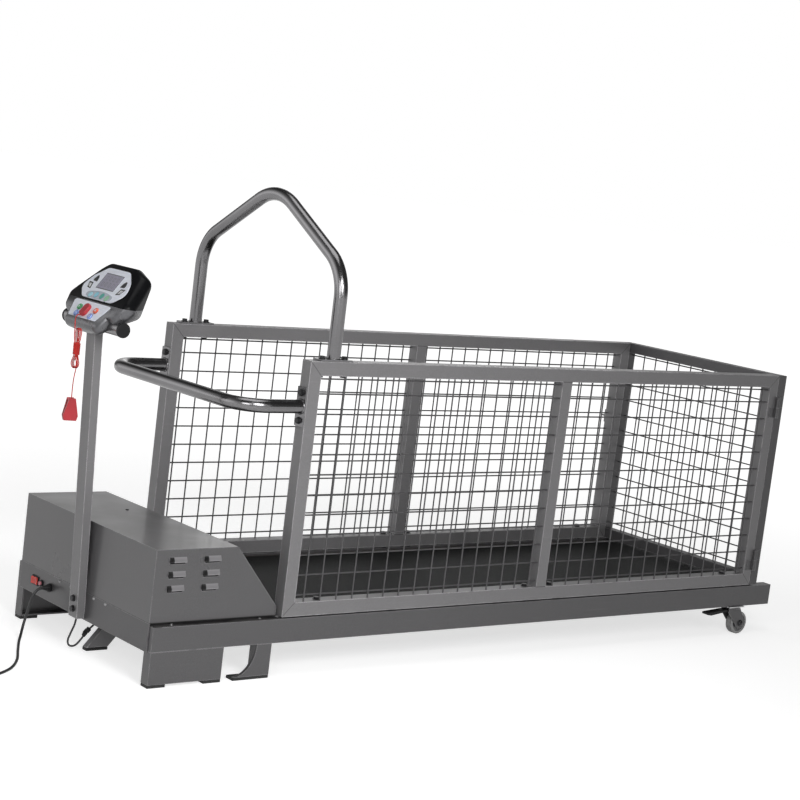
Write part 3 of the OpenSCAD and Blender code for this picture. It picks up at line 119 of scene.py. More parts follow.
def block(size: Sequence[float], frame: Matrix, round_mm: float) -> Mesh:
    """Makes a block with rounded edges, centred in a frame.

    Args:
        size: Lengths along the frame's axes in millimetres.
        frame: The frame that it sits in.
        round_mm: Edge radius in millimetres.

    Returns:
        The block's mesh.
    """
    bm = bmesh.new()
    bmesh.ops.create_cube(bm, size=1.0)
    bmesh.ops.scale(bm, vec=metres(size), verts=bm.verts)
    bmesh.ops.bevel(bm, geom=bm.edges, offset=round_mm * MM, offset_type="OFFSET", segments=3, profile=0.5,
                    affect="EDGES", clamp_overlap=True, material=-1)
    bmesh.ops.transform(bm, matrix=frame, verts=bm.verts)
    return bm


def new_verts(made: dict) -> list[bmesh.types.BMVert]:
    """Picks the points out of what an operator made."""
    return [v for v in made["geom"] if isinstance(v, bmesh.types.BMVert)]


def flat_print(outline: Sequence[Spot], height: float, frame: Matrix) -> Mesh:
    """Raises a flat outline in a frame's x and y plane to a thin film.

    Args:
        outline: Corner points in millimetres.
        height: The film's thickness in millimetres.
        frame: The frame that it lies in.

    Returns:
        The film's mesh.
    """
    bm = bmesh.new()
    face = bm.faces.new([bm.verts.new((x * MM, y * MM, 0.0)) for x, y in outline])
    raised = bmesh.ops.extrude_face_region(bm, geom=[face])
    bmesh.ops.translate(bm, vec=(0, 0, height * MM), verts=new_verts(raised))
    bmesh.ops.recalc_face_normals(bm, faces=bm.faces)
    bmesh.ops.transform(bm, matrix=frame, verts=bm.verts)
    return bm


def strips(boxes: Sequence[Sequence[float]], height: float, frame: Matrix) -> list[Mesh]:
    """Raises rectangles to thin films, each given by its left, lower, right and upper edge."""
    return [flat_print([(a, b), (c, b), (c, d), (a, d)], height, frame) for a, b, c, d in boxes]


def mesh_of(name: str, bm: Mesh) -> bpy.types.Mesh:
    """Makes mesh data of an edit mesh, which is freed.

    Args:
        name: The data's name.
        bm: The edit mesh.

    Returns:
        The mesh data.
    """
    mesh = bpy.data.meshes.new(name)
    bm.to_mesh(mesh)
    bm.free()
    return mesh


def joined(parts: Sequence[Mesh]) -> Mesh:
    """Puts several meshes in one.

    Args:
        parts: The meshes, which are freed.

    Returns:
        The joined mesh.
    """
    whole = bmesh.new()
    for part in parts:
        held = mesh_of("held", part)
        whole.from_mesh(held)
        bpy.data.meshes.remove(held)
    return whole


def in_scene(name: str, data: bpy.types.ID) -> bpy.types.Object:
    """Makes a scene object of mesh, curve, lamp or camera data.

    Args:
        name: The object's name.
        data: What it shows.

    Returns:
        The new object.
    """
    made = bpy.data.objects.new(name, data)
    bpy.context.scene.collection.objects.link(made)
    return made


def add_piece(name: str, bm: Mesh, body: str, finish: Material,
              shade: Shade = Shade.CREASED) -> bpy.types.Object:
    """Makes a scene object of a mesh and lets it ride on a body.

    Args:
        name: The piece's name.
        bm: Its mesh in metres, which is freed.
        body: The CAD body that it moves with.
        finish: Its material.
        shade: How its edges are shaded.

    Returns:
        The new object.
    """
    bmesh.ops.recalc_face_normals(bm, faces=bm.faces)
    mesh = mesh_of(name, bm)
    mesh.shade_smooth()
    mesh.set_sharp_from_angle(angle=math.radians(shade.value))
    mesh.materials.append(finish)
    piece = in_scene(name, mesh)
    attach(piece, body)
    LOG.info("piece %s on %s, %d faces", name, body, len(mesh.polygons))
    return piece


def modify(piece: bpy.types.Object, kind: str, **settings: object) -> None:
    """Adds a modifier to a piece.

    Args:
        piece: The piece.
        kind: The modifier's type.
        **settings: Its properties.
    """
    modifier = piece.modifiers.new(kind.lower(), kind)
    for key, value in settings.items():
        setattr(modifier, key, value)


def dress(node: str, finish: Material, soften: float = 0.0, segments: int = 2) -> bpy.types.Object:
    """Gives a CAD node its finish and softens its edges.

    Args:
        node: The node's name.
        finish: Its material.
        soften: Edge radius in millimetres, or 0 to leave the edges.
        segments: Facets across a softened edge.

    Returns:
        The node's object.
    """
    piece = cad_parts[node]
    piece.data.materials.clear()
    piece.data.materials.append(finish)
    if soften:
        modify(piece, "WELD", merge_threshold=WELD_M)
        modify(piece, "DECIMATE", decimate_type="DISSOLVE", angle_limit=math.radians(0.8))
        modify(piece, "BEVEL", width=soften * MM, segments=segments, limit_method="ANGLE",
               angle_limit=math.radians(38), use_clamp_overlap=True)
        modify(piece, "WEIGHTED_NORMAL", weight=80, keep_sharp=False)
    LOG.info("node %s dressed with %s", node, finish.name)
    return piece


def smooth(node: str, finish: Material, crease: float = 38.0) -> None:
    """Gives a round CAD node its finish and even shading, with its real edges kept sharp.

    Args:
        node: The node's name.
        finish: Its material.
        crease: The angle in degrees past which an edge stays sharp.
    """
    piece = dress(node, finish)
    modify(piece, "WELD", merge_threshold=WELD_M)
    modify(piece, "EDGE_SPLIT", split_angle=math.radians(crease), use_edge_sharp=False)
    modify(piece, "WEIGHTED_NORMAL", mode="CORNER_ANGLE", weight=50, keep_sharp=False)


def rgba(colour: Colour, gain: float = 1.0) -> tuple[float, float, float, float]:
    """Gives a colour with full alpha, made lighter or darker by a gain."""
    return (colour[0] * gain, colour[1] * gain, colour[2] * gain, 1.0)


class Sheet:
    """A node tree with short calls that add and link its nodes."""

    def __init__(self, tree: bpy.types.NodeTree) -> None:
        """Takes the tree to work in."""
        self.tree = tree

    def fill(self, node: bpy.types.Node, inputs: dict) -> None:
        """Sets or links a node's inputs.

        Args:
            node: The node.
            inputs: Input name or index to a value, or to a socket to link from.
        """
        for key, value in inputs.items():
            if isinstance(value, Socket):
                self.tree.links.new(value, node.inputs[key])
            else:
                node.inputs[key].default_value = value

    def add(self, kind: str, inputs: dict | None = None, **settings: object) -> bpy.types.Node:
        """Adds a node, sets its properties, and sets or links its inputs.

        Args:
            kind: The node's type name.
            inputs: Input name or index to a value, or to a socket to link from.
            **settings: Properties of the node.

        Returns:
            The new node.
        """
        node = self.tree.nodes.new(kind)
        for key, value in settings.items():
            setattr(node, key, value)
        self.fill(node, inputs or {})
        return node

    def place(self) -> Socket:
        """Gives the place on the object, from the object's origin."""
        return self.add("ShaderNodeTexCoord").outputs["Object"]

    def stretched(self, scale: Point) -> Socket:
        """Gives the place on the object, scaled along each axis."""
        return self.add("ShaderNodeMapping", {"Vector": self.place(), "Scale": scale}).outputs[0]

    def facing(self) -> Socket:
        """Gives the way that the surface faces."""
        return self.add("ShaderNodeNewGeometry").outputs["Normal"]

    def axes(self, vector: Socket) -> Sequence[Socket]:
        """Parts a vector into x, y and z."""
        return self.add("ShaderNodeSeparateXYZ", {0: vector}).outputs

    def math(self, operation: str, *values: object) -> Socket:
        """Adds a math node and gives its result."""
        return self.add("ShaderNodeMath", dict(enumerate(values)), operation=operation).outputs[0]

    def measure(self, operation: str, *vectors: object) -> Socket:
        """Adds a vector math node and gives its value."""
        node = self.add("ShaderNodeVectorMath", dict(enumerate(vectors)), operation=operation)
        return node.outputs["Value"]

    def product(self, first: object, *others: object) -> object:
        """Multiplies values and gives the result."""
        for other in others:
            first = self.math("MULTIPLY", first, other)
        return first

    def apart(self, first: object, second: object) -> Socket:
        """Gives how far two values are apart."""
        return self.math("ABSOLUTE", self.math("SUBTRACT", first, second))

    def noise(self, vector: Socket, scale: object, detail: float) -> Socket:
        """Adds a noise texture and gives its value."""
        return self.add("ShaderNodeTexNoise", {"Vector": vector, "Scale": scale, "Detail": detail}).outputs[0]

    def weave(self, first: Socket, second: Socket, pitch: float) -> Socket:
        """Crosses two slanting waves.

        Args:
            first: One axis.
            second: The other axis.
            pitch: A wave's length in metres.

        Returns:
            The waves' product, from -1 to 1.
        """
        turns = math.tau / pitch
        ahead = self.math("SINE", self.math("MULTIPLY", self.math("ADD", first, second), turns))
        aside = self.math("SINE", self.math("MULTIPLY", self.math("SUBTRACT", first, second), turns))
        return self.math("MULTIPLY", ahead, aside)

    def span(self, value: Socket, low: float, high: float, to_low: float = 0.0,
             to_high: float = 1.0) -> Socket:
        """Maps one range of a value to another, with its ends held."""
        return self.add("ShaderNodeMapRange", {0: value, 1: low, 2: high, 3: to_low, 4: to_high}).outputs[0]

    def blend(self, share: object, first: object, second: object) -> Socket:
        """Mixes two colours by a share and gives the result."""
        return self.add("ShaderNodeMix", {0: share, 6: first, 7: second}, data_type="RGBA").outputs[2]

    def shades(self, share: Socket, colour: Colour, low: float, high: float) -> Socket:
        """Mixes two gains of one colour by a share and gives the result."""
        return self.blend(share, rgba(colour, low), rgba(colour, high))

    def between(self, share: object, first: object, second: object) -> Socket:
        """Mixes two values by a share and gives the result."""
        return self.add("ShaderNodeMix", {0: share, 2: first, 3: second}, data_type="FLOAT").outputs[0]


class Group(Sheet):
    """A shader node group that gives heights or masks."""

    def __init__(self, name: str, inputs: dict[str, float], outputs: Sequence[str]) -> None:
        """Starts the group with its sockets.

        Args:
            name: The group's name.
            inputs: Input names with their starting values.
            outputs: Output names.
        """
        super().__init__(bpy.data.node_groups.new(name, "ShaderNodeTree"))
        face = self.tree.interface
        for label, value in inputs.items():
            socket = face.new_socket(name=label, in_out="INPUT", socket_type="NodeSocketFloat")
            socket.default_value = value
        for label in outputs:
            face.new_socket(name=label, in_out="OUTPUT", socket_type="NodeSocketFloat")
        self.given = self.add("NodeGroupInput").outputs

    def end(self, results: dict[str, Socket]) -> bpy.types.NodeTree:
        """Links the group's results and gives its tree."""
        self.add("NodeGroupOutput", results)
        return self.tree


class Effects:
    """Shader node groups that several finishes share, each built once."""

    def __init__(self) -> None:
        """Builds the groups."""
        self.hammertone = self._hammertone()
        self.edge_wear = self._edge_wear()
        self.dust = self._dust()
        self.grain = self._grain()
        self.scuffs = self._scuffs()

    @staticmethod
    def _hammertone() -> bpy.types.NodeTree:
        """Builds the dimpled relief and fleck of hammertone paint.

        Returns:
            The group's tree.
        """
        group = Group("hammertone", {"Scale": 220.0}, ("Height", "Fleck"))
        place = group.place()
        scale = group.given["Scale"]
        cells = group.add("ShaderNodeTexVoronoi", {"Vector": place, "Scale": scale, "Smoothness": 0.6},
                          feature="SMOOTH_F1")
        speck = group.noise(place, group.math("MULTIPLY", scale, 2.6), 2.0)
        height = group.math("MULTIPLY_ADD", speck, 0.4, cells.outputs["Distance"])
        return group.end({"Height": height, "Fleck": group.span(speck, 0.4, 0.68)})

    @staticmethod
    def _edge_wear() -> bpy.types.NodeTree:
        """Builds a broken mask along outer edges.

        Returns:
            The group's tree.
        """
        group = Group("edge_wear", {"Radius": 0.002, "Amount": 0.5}, ("Mask",))
        rounded = group.add("ShaderNodeBevel", {"Radius": group.given["Radius"]}, samples=4).outputs[0]
        edge = group.span(group.measure("DOT_PRODUCT", rounded, group.facing()), 0.99, 0.86)
        broken = group.span(group.noise(group.place(), 38.0, 5.0), 0.30, 0.50)
        return group.end({"Mask": group.product(edge, broken, group.given["Amount"])})

    @staticmethod
    def _dust() -> bpy.types.NodeTree:
        """Builds a cloudy mask on faces that look up.

        Returns:
            The group's tree.
        """
        group = Group("dust", {"Amount": 0.3, "Scale": 14.0}, ("Mask",))
        up = group.span(group.axes(group.facing())[2], 0.3, 1.0)
        cloud = group.span(group.noise(group.place(), group.given["Scale"], 6.0), 0.38, 0.72)
        return group.end({"Mask": group.product(up, cloud, group.given["Amount"])})

    @staticmethod
    def _grain() -> bpy.types.NodeTree:
        """Builds the fine relief of moulded plastic or rubber.

        Returns:
            The group's tree.
        """
        group = Group("grain", {"Scale": 900.0}, ("Height",))
        place = group.place()
        scale = group.given["Scale"]
        pits = group.add("ShaderNodeTexVoronoi", {"Vector": place, "Scale": scale}).outputs["Distance"]
        return group.end({"Height": group.math("ADD", pits, group.noise(place, scale, 2.0))})

    @staticmethod
    def _scuffs() -> bpy.types.NodeTree:
        """Builds thin rubbed streaks along the machine, and a slow cloud for sheen.

        Returns:
            The group's tree.
        """
        group = Group("scuffs", {"Amount": 0.4}, ("Mask", "Cloud"))
        streak = group.span(group.noise(group.stretched((5.0, 160.0, 160.0)), 1.0, 6.0), 0.62, 0.74)
        cloud = group.noise(group.place(), 6.0, 4.0)
        return group.end({"Mask": group.product(streak, cloud, group.given["Amount"]), "Cloud": cloud})


class MaterialSheet(Sheet):
    """A material's node tree, with its shader and the shared groups."""

    def __init__(self, name: str, effects: Effects | None = None) -> None:
        """Starts the material.

        Args:
            name: The material's name.
            effects: The shared groups, where the material needs them.
        """
        self.material = bpy.data.materials.new(name)
        self.material.use_nodes = True
        super().__init__(self.material.node_tree)
        self.shader = self.tree.nodes["Principled BSDF"]
        self.effects = effects

    def group(self, tree: bpy.types.NodeTree, inputs: dict | None = None) -> Sequence[Socket]:
        """Adds a shared group and gives its results."""
        return self.add("ShaderNodeGroup", inputs, node_tree=tree).outputs

    def put(self, inputs: dict) -> None:
        """Sets or links the shader's inputs."""
        self.fill(self.shader, inputs)

    def bump(self, strength: float, distance: float, height: Socket) -> None:
        """Lets a height, of a given depth in metres, bend the shader's normal."""
        bent = self.add("ShaderNodeBump", {"Strength": strength, "Distance": distance, "Height": height})
        self.put({"Normal": bent.outputs[0]})


@dataclass(frozen=True)
class Finish:
    """One finish of the machine, known by its material's name."""

    name: str

    def build(self, effects: Effects) -> Material:
        """Makes the material.

        Args:
            effects: The shared groups.

        Returns:
            The finished material.
        """
        sheet = MaterialSheet(self.name, effects)
        self.lay(sheet)
        return sheet.material

    def lay(self, sheet: MaterialSheet) -> None:
        """Lays the finish's nodes in a material's sheet, which each kind of finish does its own way."""
        raise NotImplementedError


@dataclass(frozen=True)
class Joints:
    """Where tubes of a welded frame meet, for the fine lines of painted shade between them."""

    axis: int
    middle: float
    half: float
    level: float
    half_h: float
    tube: float
    post: bool


@dataclass(frozen=True)
class Pressing:
    """Where the louvres pressed out of a hood's sides stand, and the seam at its foot: painted highlight and painted
    shade go there.
    """

    side: float
    first: float
    step: float
    mouth: float
    seam: float
    rise: Spot = (0.4, 0.9)
    mouth_blur: float = 0.6
    seam_blur: float = 0.8


@dataclass(frozen=True)
class Paint(Finish):
    """Hammertone or plain stove paint on steel, with worn edges that also carry a painted edge highlight, and
    settled dust.
    """

    colour: Colour
    metallic: float = 0.25
    roughness: float = 0.42
    scale: float = 230.0
    relief: float = 0.16
    wear: float = 0.85
    edge: float = 3.5
    dust: float = 0.16
    coat: float = 0.0
    joints: Joints | None = None
    pressing: Pressing | None = None
    settled: Colour = (0.36, 0.35, 0.34)
    # Gain for the edges: worn paint, also standing in as a painted edge highlight.
    edge_wear_and_highlight_gain: float = 3.0
    rubbed: float = 1.5
    # Gains for the painted highlight on the louvres and the painted shade in their mouths and at the foot seam.
    louvre_highlight_gain: float = 2.7
    louvre_and_seam_shade_gain: float = 0.1
    # Gain for the painted shade in the mitre and butt joints.
    joint_shade: float = 0.22

    def lay(self, sheet: MaterialSheet) -> None:
        """Lays fleck, worn edges with a painted edge highlight, the louvres' painted highlight and shade, scuffs,
        dust and the joints' painted shade over one another.

        Args:
            sheet: The material's sheet.
        """
        shared = sheet.effects
        tone = sheet.group(shared.hammertone, {"Scale": self.scale})
        worn = sheet.group(shared.edge_wear, {"Amount": self.wear, "Radius": self.edge * MM})["Mask"]
        dust = sheet.group(shared.dust, {"Amount": self.dust})["Mask"]
        scuff = sheet.group(shared.scuffs)
        base = sheet.shades(tone["Fleck"], self.colour, 0.9, 1.12)
        base = sheet.blend(sheet.span(scuff["Cloud"], 0.35, 0.7), base, rgba(self.colour, 1.06))
        # Edges lightened: worn paint and a painted edge highlight.
        base = sheet.blend(worn, base, rgba(self.colour, self.edge_wear_and_highlight_gain))
        if self.pressing:
            # Painted highlight on the louvres' outer faces; painted shade in their mouths and along the hood's foot
            # seam.
            bright, dark = self._louvres(sheet)
            base = sheet.blend(bright, base, rgba(self.colour, self.louvre_highlight_gain))
            base = sheet.blend(dark, base, rgba(self.colour, self.louvre_and_seam_shade_gain))
        base = sheet.blend(scuff["Mask"], base, rgba(self.colour, self.rubbed))
        base = sheet.blend(dust, base, rgba(self.settled))
        height = tone["Height"]
        if self.joints:
            # Painted shade in the mitre and butt joints, over a bumped groove.
            joint_shade = self._lines(sheet)
            base = sheet.blend(joint_shade, base, rgba(self.colour, self.joint_shade))
            height = sheet.math("MULTIPLY_ADD", joint_shade, -6.0, height)
        rough = sheet.span(scuff["Cloud"], 0.3, 0.7, self.roughness - 0.05, self.roughness + 0.07)
        sheet.put({"Base Color": base, "Metallic": self.metallic, "Coat Weight": self.coat,
                   "Coat Roughness": 0.14, "Roughness": sheet.between(dust, rough, 0.8)})
        sheet.bump(self.relief, 0.0006, height)

    def _louvres(self, sheet: MaterialSheet) -> tuple[Socket, Socket]:
        """Marks the louvres' outer faces for a painted highlight, and their mouths at one end and the seam at the
        foot for painted shade.

        Args:
            sheet: The material's sheet.

        Returns:
            A painted-highlight mask that is 1 on the louvres' outer faces, and a painted-shade mask that is 1 in
            their mouths and on the seam.
        """
        p = self.pressing
        x, y, z = sheet.axes(sheet.place())
        start, end = p.rise
        proud = sheet.span(sheet.math("ABSOLUTE", y), (p.side + start) * MM, (p.side + end) * MM)
        over = sheet.span(sheet.axes(sheet.facing())[2], -0.5, -0.2)
        phase = sheet.math("FLOORED_MODULO", sheet.math("SUBTRACT", x, p.first * MM), p.step * MM)
        mouth = sheet.span(phase, (p.mouth + p.mouth_blur) * MM, (p.mouth - p.mouth_blur) * MM)
        seam = sheet.span(z, (p.seam + p.seam_blur) * MM, (p.seam - p.seam_blur) * MM)
        return sheet.product(proud, over), sheet.math("MAXIMUM", sheet.product(proud, mouth), seam)

    def _lines(self, sheet: MaterialSheet) -> Socket:
        """Draws the mitre and butt lines of a welded frame, where the joints' shade is painted.

        Args:
            sheet: The material's sheet.

        Returns:
            A mask that is 1 where a joint's shade is painted.
        """
        j = self.joints
        place = sheet.axes(sheet.place())
        along = sheet.apart(place[j.axis], j.middle * MM)
        side = sheet.math("SUBTRACT", j.half * MM, along)
        end = sheet.math("SUBTRACT", j.half_h * MM, sheet.apart(place[2], j.level * MM))
        mitre = sheet.span(sheet.apart(side, end), 0.0012, 0.0005)
        mask = sheet.product(mitre, sheet.math("LESS_THAN", side, (j.tube + 0.5) * MM))
        if j.post:
            butt = sheet.span(sheet.apart(end, j.tube * MM), 0.001, 0.0004)
            on_post = sheet.math("LESS_THAN", along, (j.tube / 2 + 0.5) * MM)
            mask = sheet.math("MAXIMUM", mask, sheet.product(butt, on_post))
        return mask


@dataclass(frozen=True)
class Gloss(Finish):
    """Lacquered or plated bright metal with drawn streaks."""

    colour: Colour
    roughness: float
    metallic: float = 1.0
    streak: float = 0.25
    dust: float = 0.1
    settled: Colour = (0.4, 0.39, 0.38)

    def lay(self, sheet: MaterialSheet) -> None:
        """Lays a cloudy tone, streaks and a little dust.

        Args:
            sheet: The material's sheet.
        """
        scuff = sheet.group(sheet.effects.scuffs, {"Amount": self.streak})
        dust = sheet.group(sheet.effects.dust, {"Amount": self.dust})["Mask"]
        tone = sheet.shades(sheet.span(scuff["Cloud"], 0.3, 0.7), self.colour, 0.9, 1.1)
        tone = sheet.blend(scuff["Mask"], tone, rgba(self.colour, 1.6))
        tone = sheet.blend(dust, tone, rgba(self.settled))
        rough = sheet.math("MULTIPLY_ADD", scuff["Cloud"], 0.16, self.roughness - 0.08)
        sheet.put({"Base Color": tone, "Metallic": self.metallic,
                   "Roughness": sheet.between(dust, rough, 0.7)})


@dataclass(frozen=True)
class Plastic(Finish):
    """Moulded plastic or rubber with a fine grain."""

    colour: Colour
    roughness: float
    grain: float = 900.0
    relief: float = 0.12
    metallic: float = 0.0
    wear: float = 0.15
    edge: float = 1.2
    dust: float = 0.15
    gloss: float = 0.5
    settled: Colour = (0.34, 0.33, 0.32)

    def lay(self, sheet: MaterialSheet) -> None:
        """Lays a cloudy tone, worn edges, dust and grain.

        Args:
            sheet: The material's sheet.
        """
        shared = sheet.effects
        grain = sheet.group(shared.grain, {"Scale": self.grain})["Height"]
        worn = sheet.group(shared.edge_wear, {"Amount": self.wear, "Radius": self.edge * MM})["Mask"]
        dust = sheet.group(shared.dust, {"Amount": self.dust})["Mask"]
        cloud = sheet.noise(sheet.place(), 24.0, 4.0)
        tone = sheet.shades(sheet.span(cloud, 0.35, 0.65), self.colour, 0.9, 1.1)
        tone = sheet.blend(worn, tone, rgba(self.colour, 1.7))
        tone = sheet.blend(dust, tone, rgba(self.settled))
        rough = sheet.span(cloud, 0.3, 0.7, self.roughness - 0.05, self.roughness + 0.06)
        sheet.put({"Base Color": tone, "Metallic": self.metallic, "Specular IOR Level": self.gloss,
                   "Roughness": sheet.between(dust, rough, 0.85)})
        sheet.bump(self.relief, 0.0003, grain)


@dataclass(frozen=True)
class BeltRubber(Finish):
    """Running belt: black rubber with a diamond weave, rubbed along the middle."""

    name: str = "belt_rubber"
    colour: Colour = (0.007, 0.007, 0.0074)
    pitch: float = 2.6
    trodden: Spot = (0.26, 0.1)
    settled: Colour = (0.16, 0.155, 0.15)

    def lay(self, sheet: MaterialSheet) -> None:
        """Lays the weave, the trodden middle, scuffs and a trace of dust.

        Args:
            sheet: The material's sheet.
        """
        x, y, _ = sheet.axes(sheet.place())
        weave = sheet.weave(x, y, self.pitch * MM)
        scuff = sheet.group(sheet.effects.scuffs, {"Amount": 0.9})["Mask"]
        dust = sheet.group(sheet.effects.dust, {"Amount": 0.03})["Mask"]
        trodden = sheet.span(sheet.math("ABSOLUTE", y), *self.trodden)
        tone = sheet.shades(sheet.span(weave, -0.2, 0.8), self.colour, 0.75, 1.25)
        tone = sheet.blend(sheet.product(trodden, 0.35), tone, rgba(self.colour, 1.8))
        tone = sheet.blend(scuff, tone, rgba(self.colour, 3.0))
        tone = sheet.blend(dust, tone, rgba(self.settled))
        sheet.put({"Base Color": tone, "Roughness": sheet.span(trodden, 0.0, 1.0, 0.68, 0.56),
                   "Specular IOR Level": 0.15})
        sheet.bump(0.5, 0.0005, weave)


@dataclass(frozen=True)
class DeckBoard(Finish):
    """Pressed fibre board with a dark resin face."""

    name: str = "pressed_board"
    colour: Colour = (0.042, 0.036, 0.031)
    fibre: Point = (90.0, 90.0, 420.0)

    def lay(self, sheet: MaterialSheet) -> None:
        """Lays the board's chips.

        Args:
            sheet: The material's sheet.
        """
        chips = sheet.noise(sheet.stretched(self.fibre), 2.0, 6.0)
        sheet.put({"Base Color": sheet.shades(sheet.span(chips, 0.35, 0.65), self.colour, 0.7, 1.3),
                   "Roughness": sheet.span(chips, 0.3, 0.7, 0.45, 0.7)})
        sheet.bump(0.2, 0.0004, chips)


@dataclass(frozen=True)
class CasterTyre(Finish):
    """Grey caster wheel: paler tread on a moulded centre, scuffed where it rolls."""

    centre: Spot
    tread: Colour = (0.40, 0.40, 0.40)
    core: Colour = (0.24, 0.24, 0.245)
    grime: Colour = (0.11, 0.105, 0.10)
    core_r: float = 25.5
    rolled: Spot = (31.8, 33.7)

    def lay(self, sheet: MaterialSheet) -> None:
        """Lays the centre, the tread and its scuffs by their distance from the axle.

        Args:
            sheet: The material's sheet.
        """
        place = sheet.place()
        back = (-self.centre[0] * MM, 0.0, -self.centre[1] * MM)
        off = sheet.add("ShaderNodeMapping", {"Vector": place, "Location": back, "Scale": (1.0, 0.0, 1.0)})
        reach = sheet.measure("LENGTH", off.outputs[0])
        rim = sheet.span(reach, (self.core_r - 0.6) * MM, (self.core_r + 0.6) * MM)
        worn = sheet.span(sheet.noise(place, 60.0, 6.0), 0.4, 0.65)
        rolled = sheet.span(reach, self.rolled[0] * MM, self.rolled[1] * MM)
        tone = sheet.blend(rim, rgba(self.core), rgba(self.tread))
        tone = sheet.blend(sheet.product(rolled, worn, 0.6), tone, rgba(self.grime))
        sheet.put({"Base Color": tone, "Roughness": sheet.span(rim, 0.0, 1.0, 0.38, 0.6)})
        sheet.bump(0.15, 0.0003, sheet.group(sheet.effects.grain, {"Scale": 700.0})["Height"])


@dataclass(frozen=True)
class WindowGlass(Finish):
    """Display window and lenses, tinted by their place across the console."""

    name: str = "window_tints"
    display: Colour = (0.33, 0.32, 0.39)
    split: float = 0.0
    nearest: Colour = (0.36, 0.62, 0.42)
    lenses: tuple[tuple[float, Colour], ...] = (
        (-25.5, (0.10, 0.42, 0.36)), (0.0, (0.30, 0.66, 0.80)), (25.5, (0.42, 0.74, 0.84)))

    def lay(self, sheet: MaterialSheet) -> None:
        """Lays a tint for each lens and, above them, the display's.

        Args:
            sheet: The material's sheet.
        """
        place = sheet.place()
        _, y, z = sheet.axes(place)
        lens = rgba(self.nearest)
        for start, tint in self.lenses:
            lens = sheet.blend(sheet.math("GREATER_THAN", y, start * MM), lens, rgba(tint))
        upper = sheet.math("GREATER_THAN", z, self.split * MM)
        mottle = sheet.noise(place, 320.0, 3.0)
        glass = sheet.shades(sheet.span(mottle, 0.35, 0.65), self.display, 0.94, 1.05)
        sheet.put({"Base Color": sheet.blend(upper, lens, glass), "Coat Weight": 0.3,
                   "Roughness": sheet.span(mottle, 0.3, 0.7, 0.16, 0.22)})


@dataclass(frozen=True)
class Film(Finish):
    """Printed overlay film: a base tone with a faint brushed sheen."""

    colour: Colour
    metallic: float = 0.0
    roughness: float = 0.4
    brushing: Point = (700.0, 30.0, 700.0)

    def lay(self, sheet: MaterialSheet) -> None:
        """Lays the brushed tone.

        Args:
            sheet: The material's sheet.
        """
        brushed = sheet.noise(sheet.stretched(self.brushing), 1.0, 4.0)
        rough = sheet.span(brushed, 0.3, 0.7, self.roughness - 0.04, self.roughness + 0.06)
        sheet.put({"Base Color": sheet.shades(sheet.span(brushed, 0.35, 0.65), self.colour, 0.95, 1.05),
                   "Metallic": self.metallic, "Roughness": rough})


@dataclass(frozen=True)
class Braid(Finish):
    """Braided red lanyard cord, its strands crossing along the cord."""

    name: str = "braided_red"
    colour: Colour = (0.52, 0.035, 0.03)
    pitch: float = 2.2

    def lay(self, sheet: MaterialSheet) -> None:
        """Lays the plait.

        Args:
            sheet: The material's sheet.
        """
        _, y, z = sheet.axes(sheet.place())
        plait = sheet.weave(z, y, self.pitch * MM)
        sheet.put({"Base Color": sheet.shades(sheet.span(plait, -0.5, 0.5), self.colour, 0.85, 1.08),
                   "Roughness": sheet.span(plait, -1.0, 1.0, 0.75, 0.6), "Specular IOR Level": 0.2})
        sheet.bump(0.3, 0.0003, plait)


@dataclass
class Machine:
    """Main places of the machine in millimetres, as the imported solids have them."""

    panel: float = -1044.07
    half_w: float = 327.0
    hood_half: float = 312.0
    hood_z: float = 153.0
    hood_seam: float = 1.2
    louvre_from: float = 38.0
    louvre_step: float = 96.0
    louvre_mouth: float = 11.0
    cage0: float = -676.07
    cage_len: float = 1716.0
    cage_z: float = 151.0
    cage_h: float = 632.0
    tube: float = 35.0
    gate_t: float = 30.0
    wheel_x: float = 1022.93
    wheel_z: float = 34.0
    face: Point = (-1123.994, 0.0, 823.0)
    face_tilt: float = 38.5
    lens_top: float = 80.0

    def console(self, y: float = 0.0, z: float = 0.0, out: float = 0.0) -> Matrix:
        """Makes a frame on the console's face: x to the right as read, y up the face and z out of it.

        Args:
            y: Place across the machine in millimetres.
            z: Place up the face.
            out: Distance out of the face.

        Returns:
            The frame's matrix in metres.
        """
        lie = Matrix(((0, 0, -1, 0), (-1, 0, 0, 0), (0, 1, 0, 0), (0, 0, 0, 1)))
        return frame_at(self.face) @ turned(self.face_tilt, "Y") @ frame_at((-out, y, z)) @ lie

    def cage_joints(self) -> Joints:
        """Gives where the tubes of a cage side meet."""
        half = self.cage_len / 2
        half_h = self.cage_h / 2
        return Joints(0, self.cage0 + half, half, self.cage_z + half_h, half_h, self.tube, True)

    def gate_joints(self) -> Joints:
        """Gives where the tubes of the gate meet."""
        half_h = self.cage_h / 2
        return Joints(1, 0.0, self.half_w, self.cage_z + half_h, half_h, self.gate_t, False)

    def hood_pressing(self) -> Pressing:
        """Gives where the hood's louvres and its seam are."""
        return Pressing(self.hood_half, self.panel + self.louvre_from, self.louvre_step, self.louvre_mouth,
                        self.hood_z + self.hood_seam)

    def lens_split(self) -> float:
        """Gives the height that parts the lenses from the display above them."""
        return self.face[2] + self.lens_top * math.cos(math.radians(self.face_tilt))


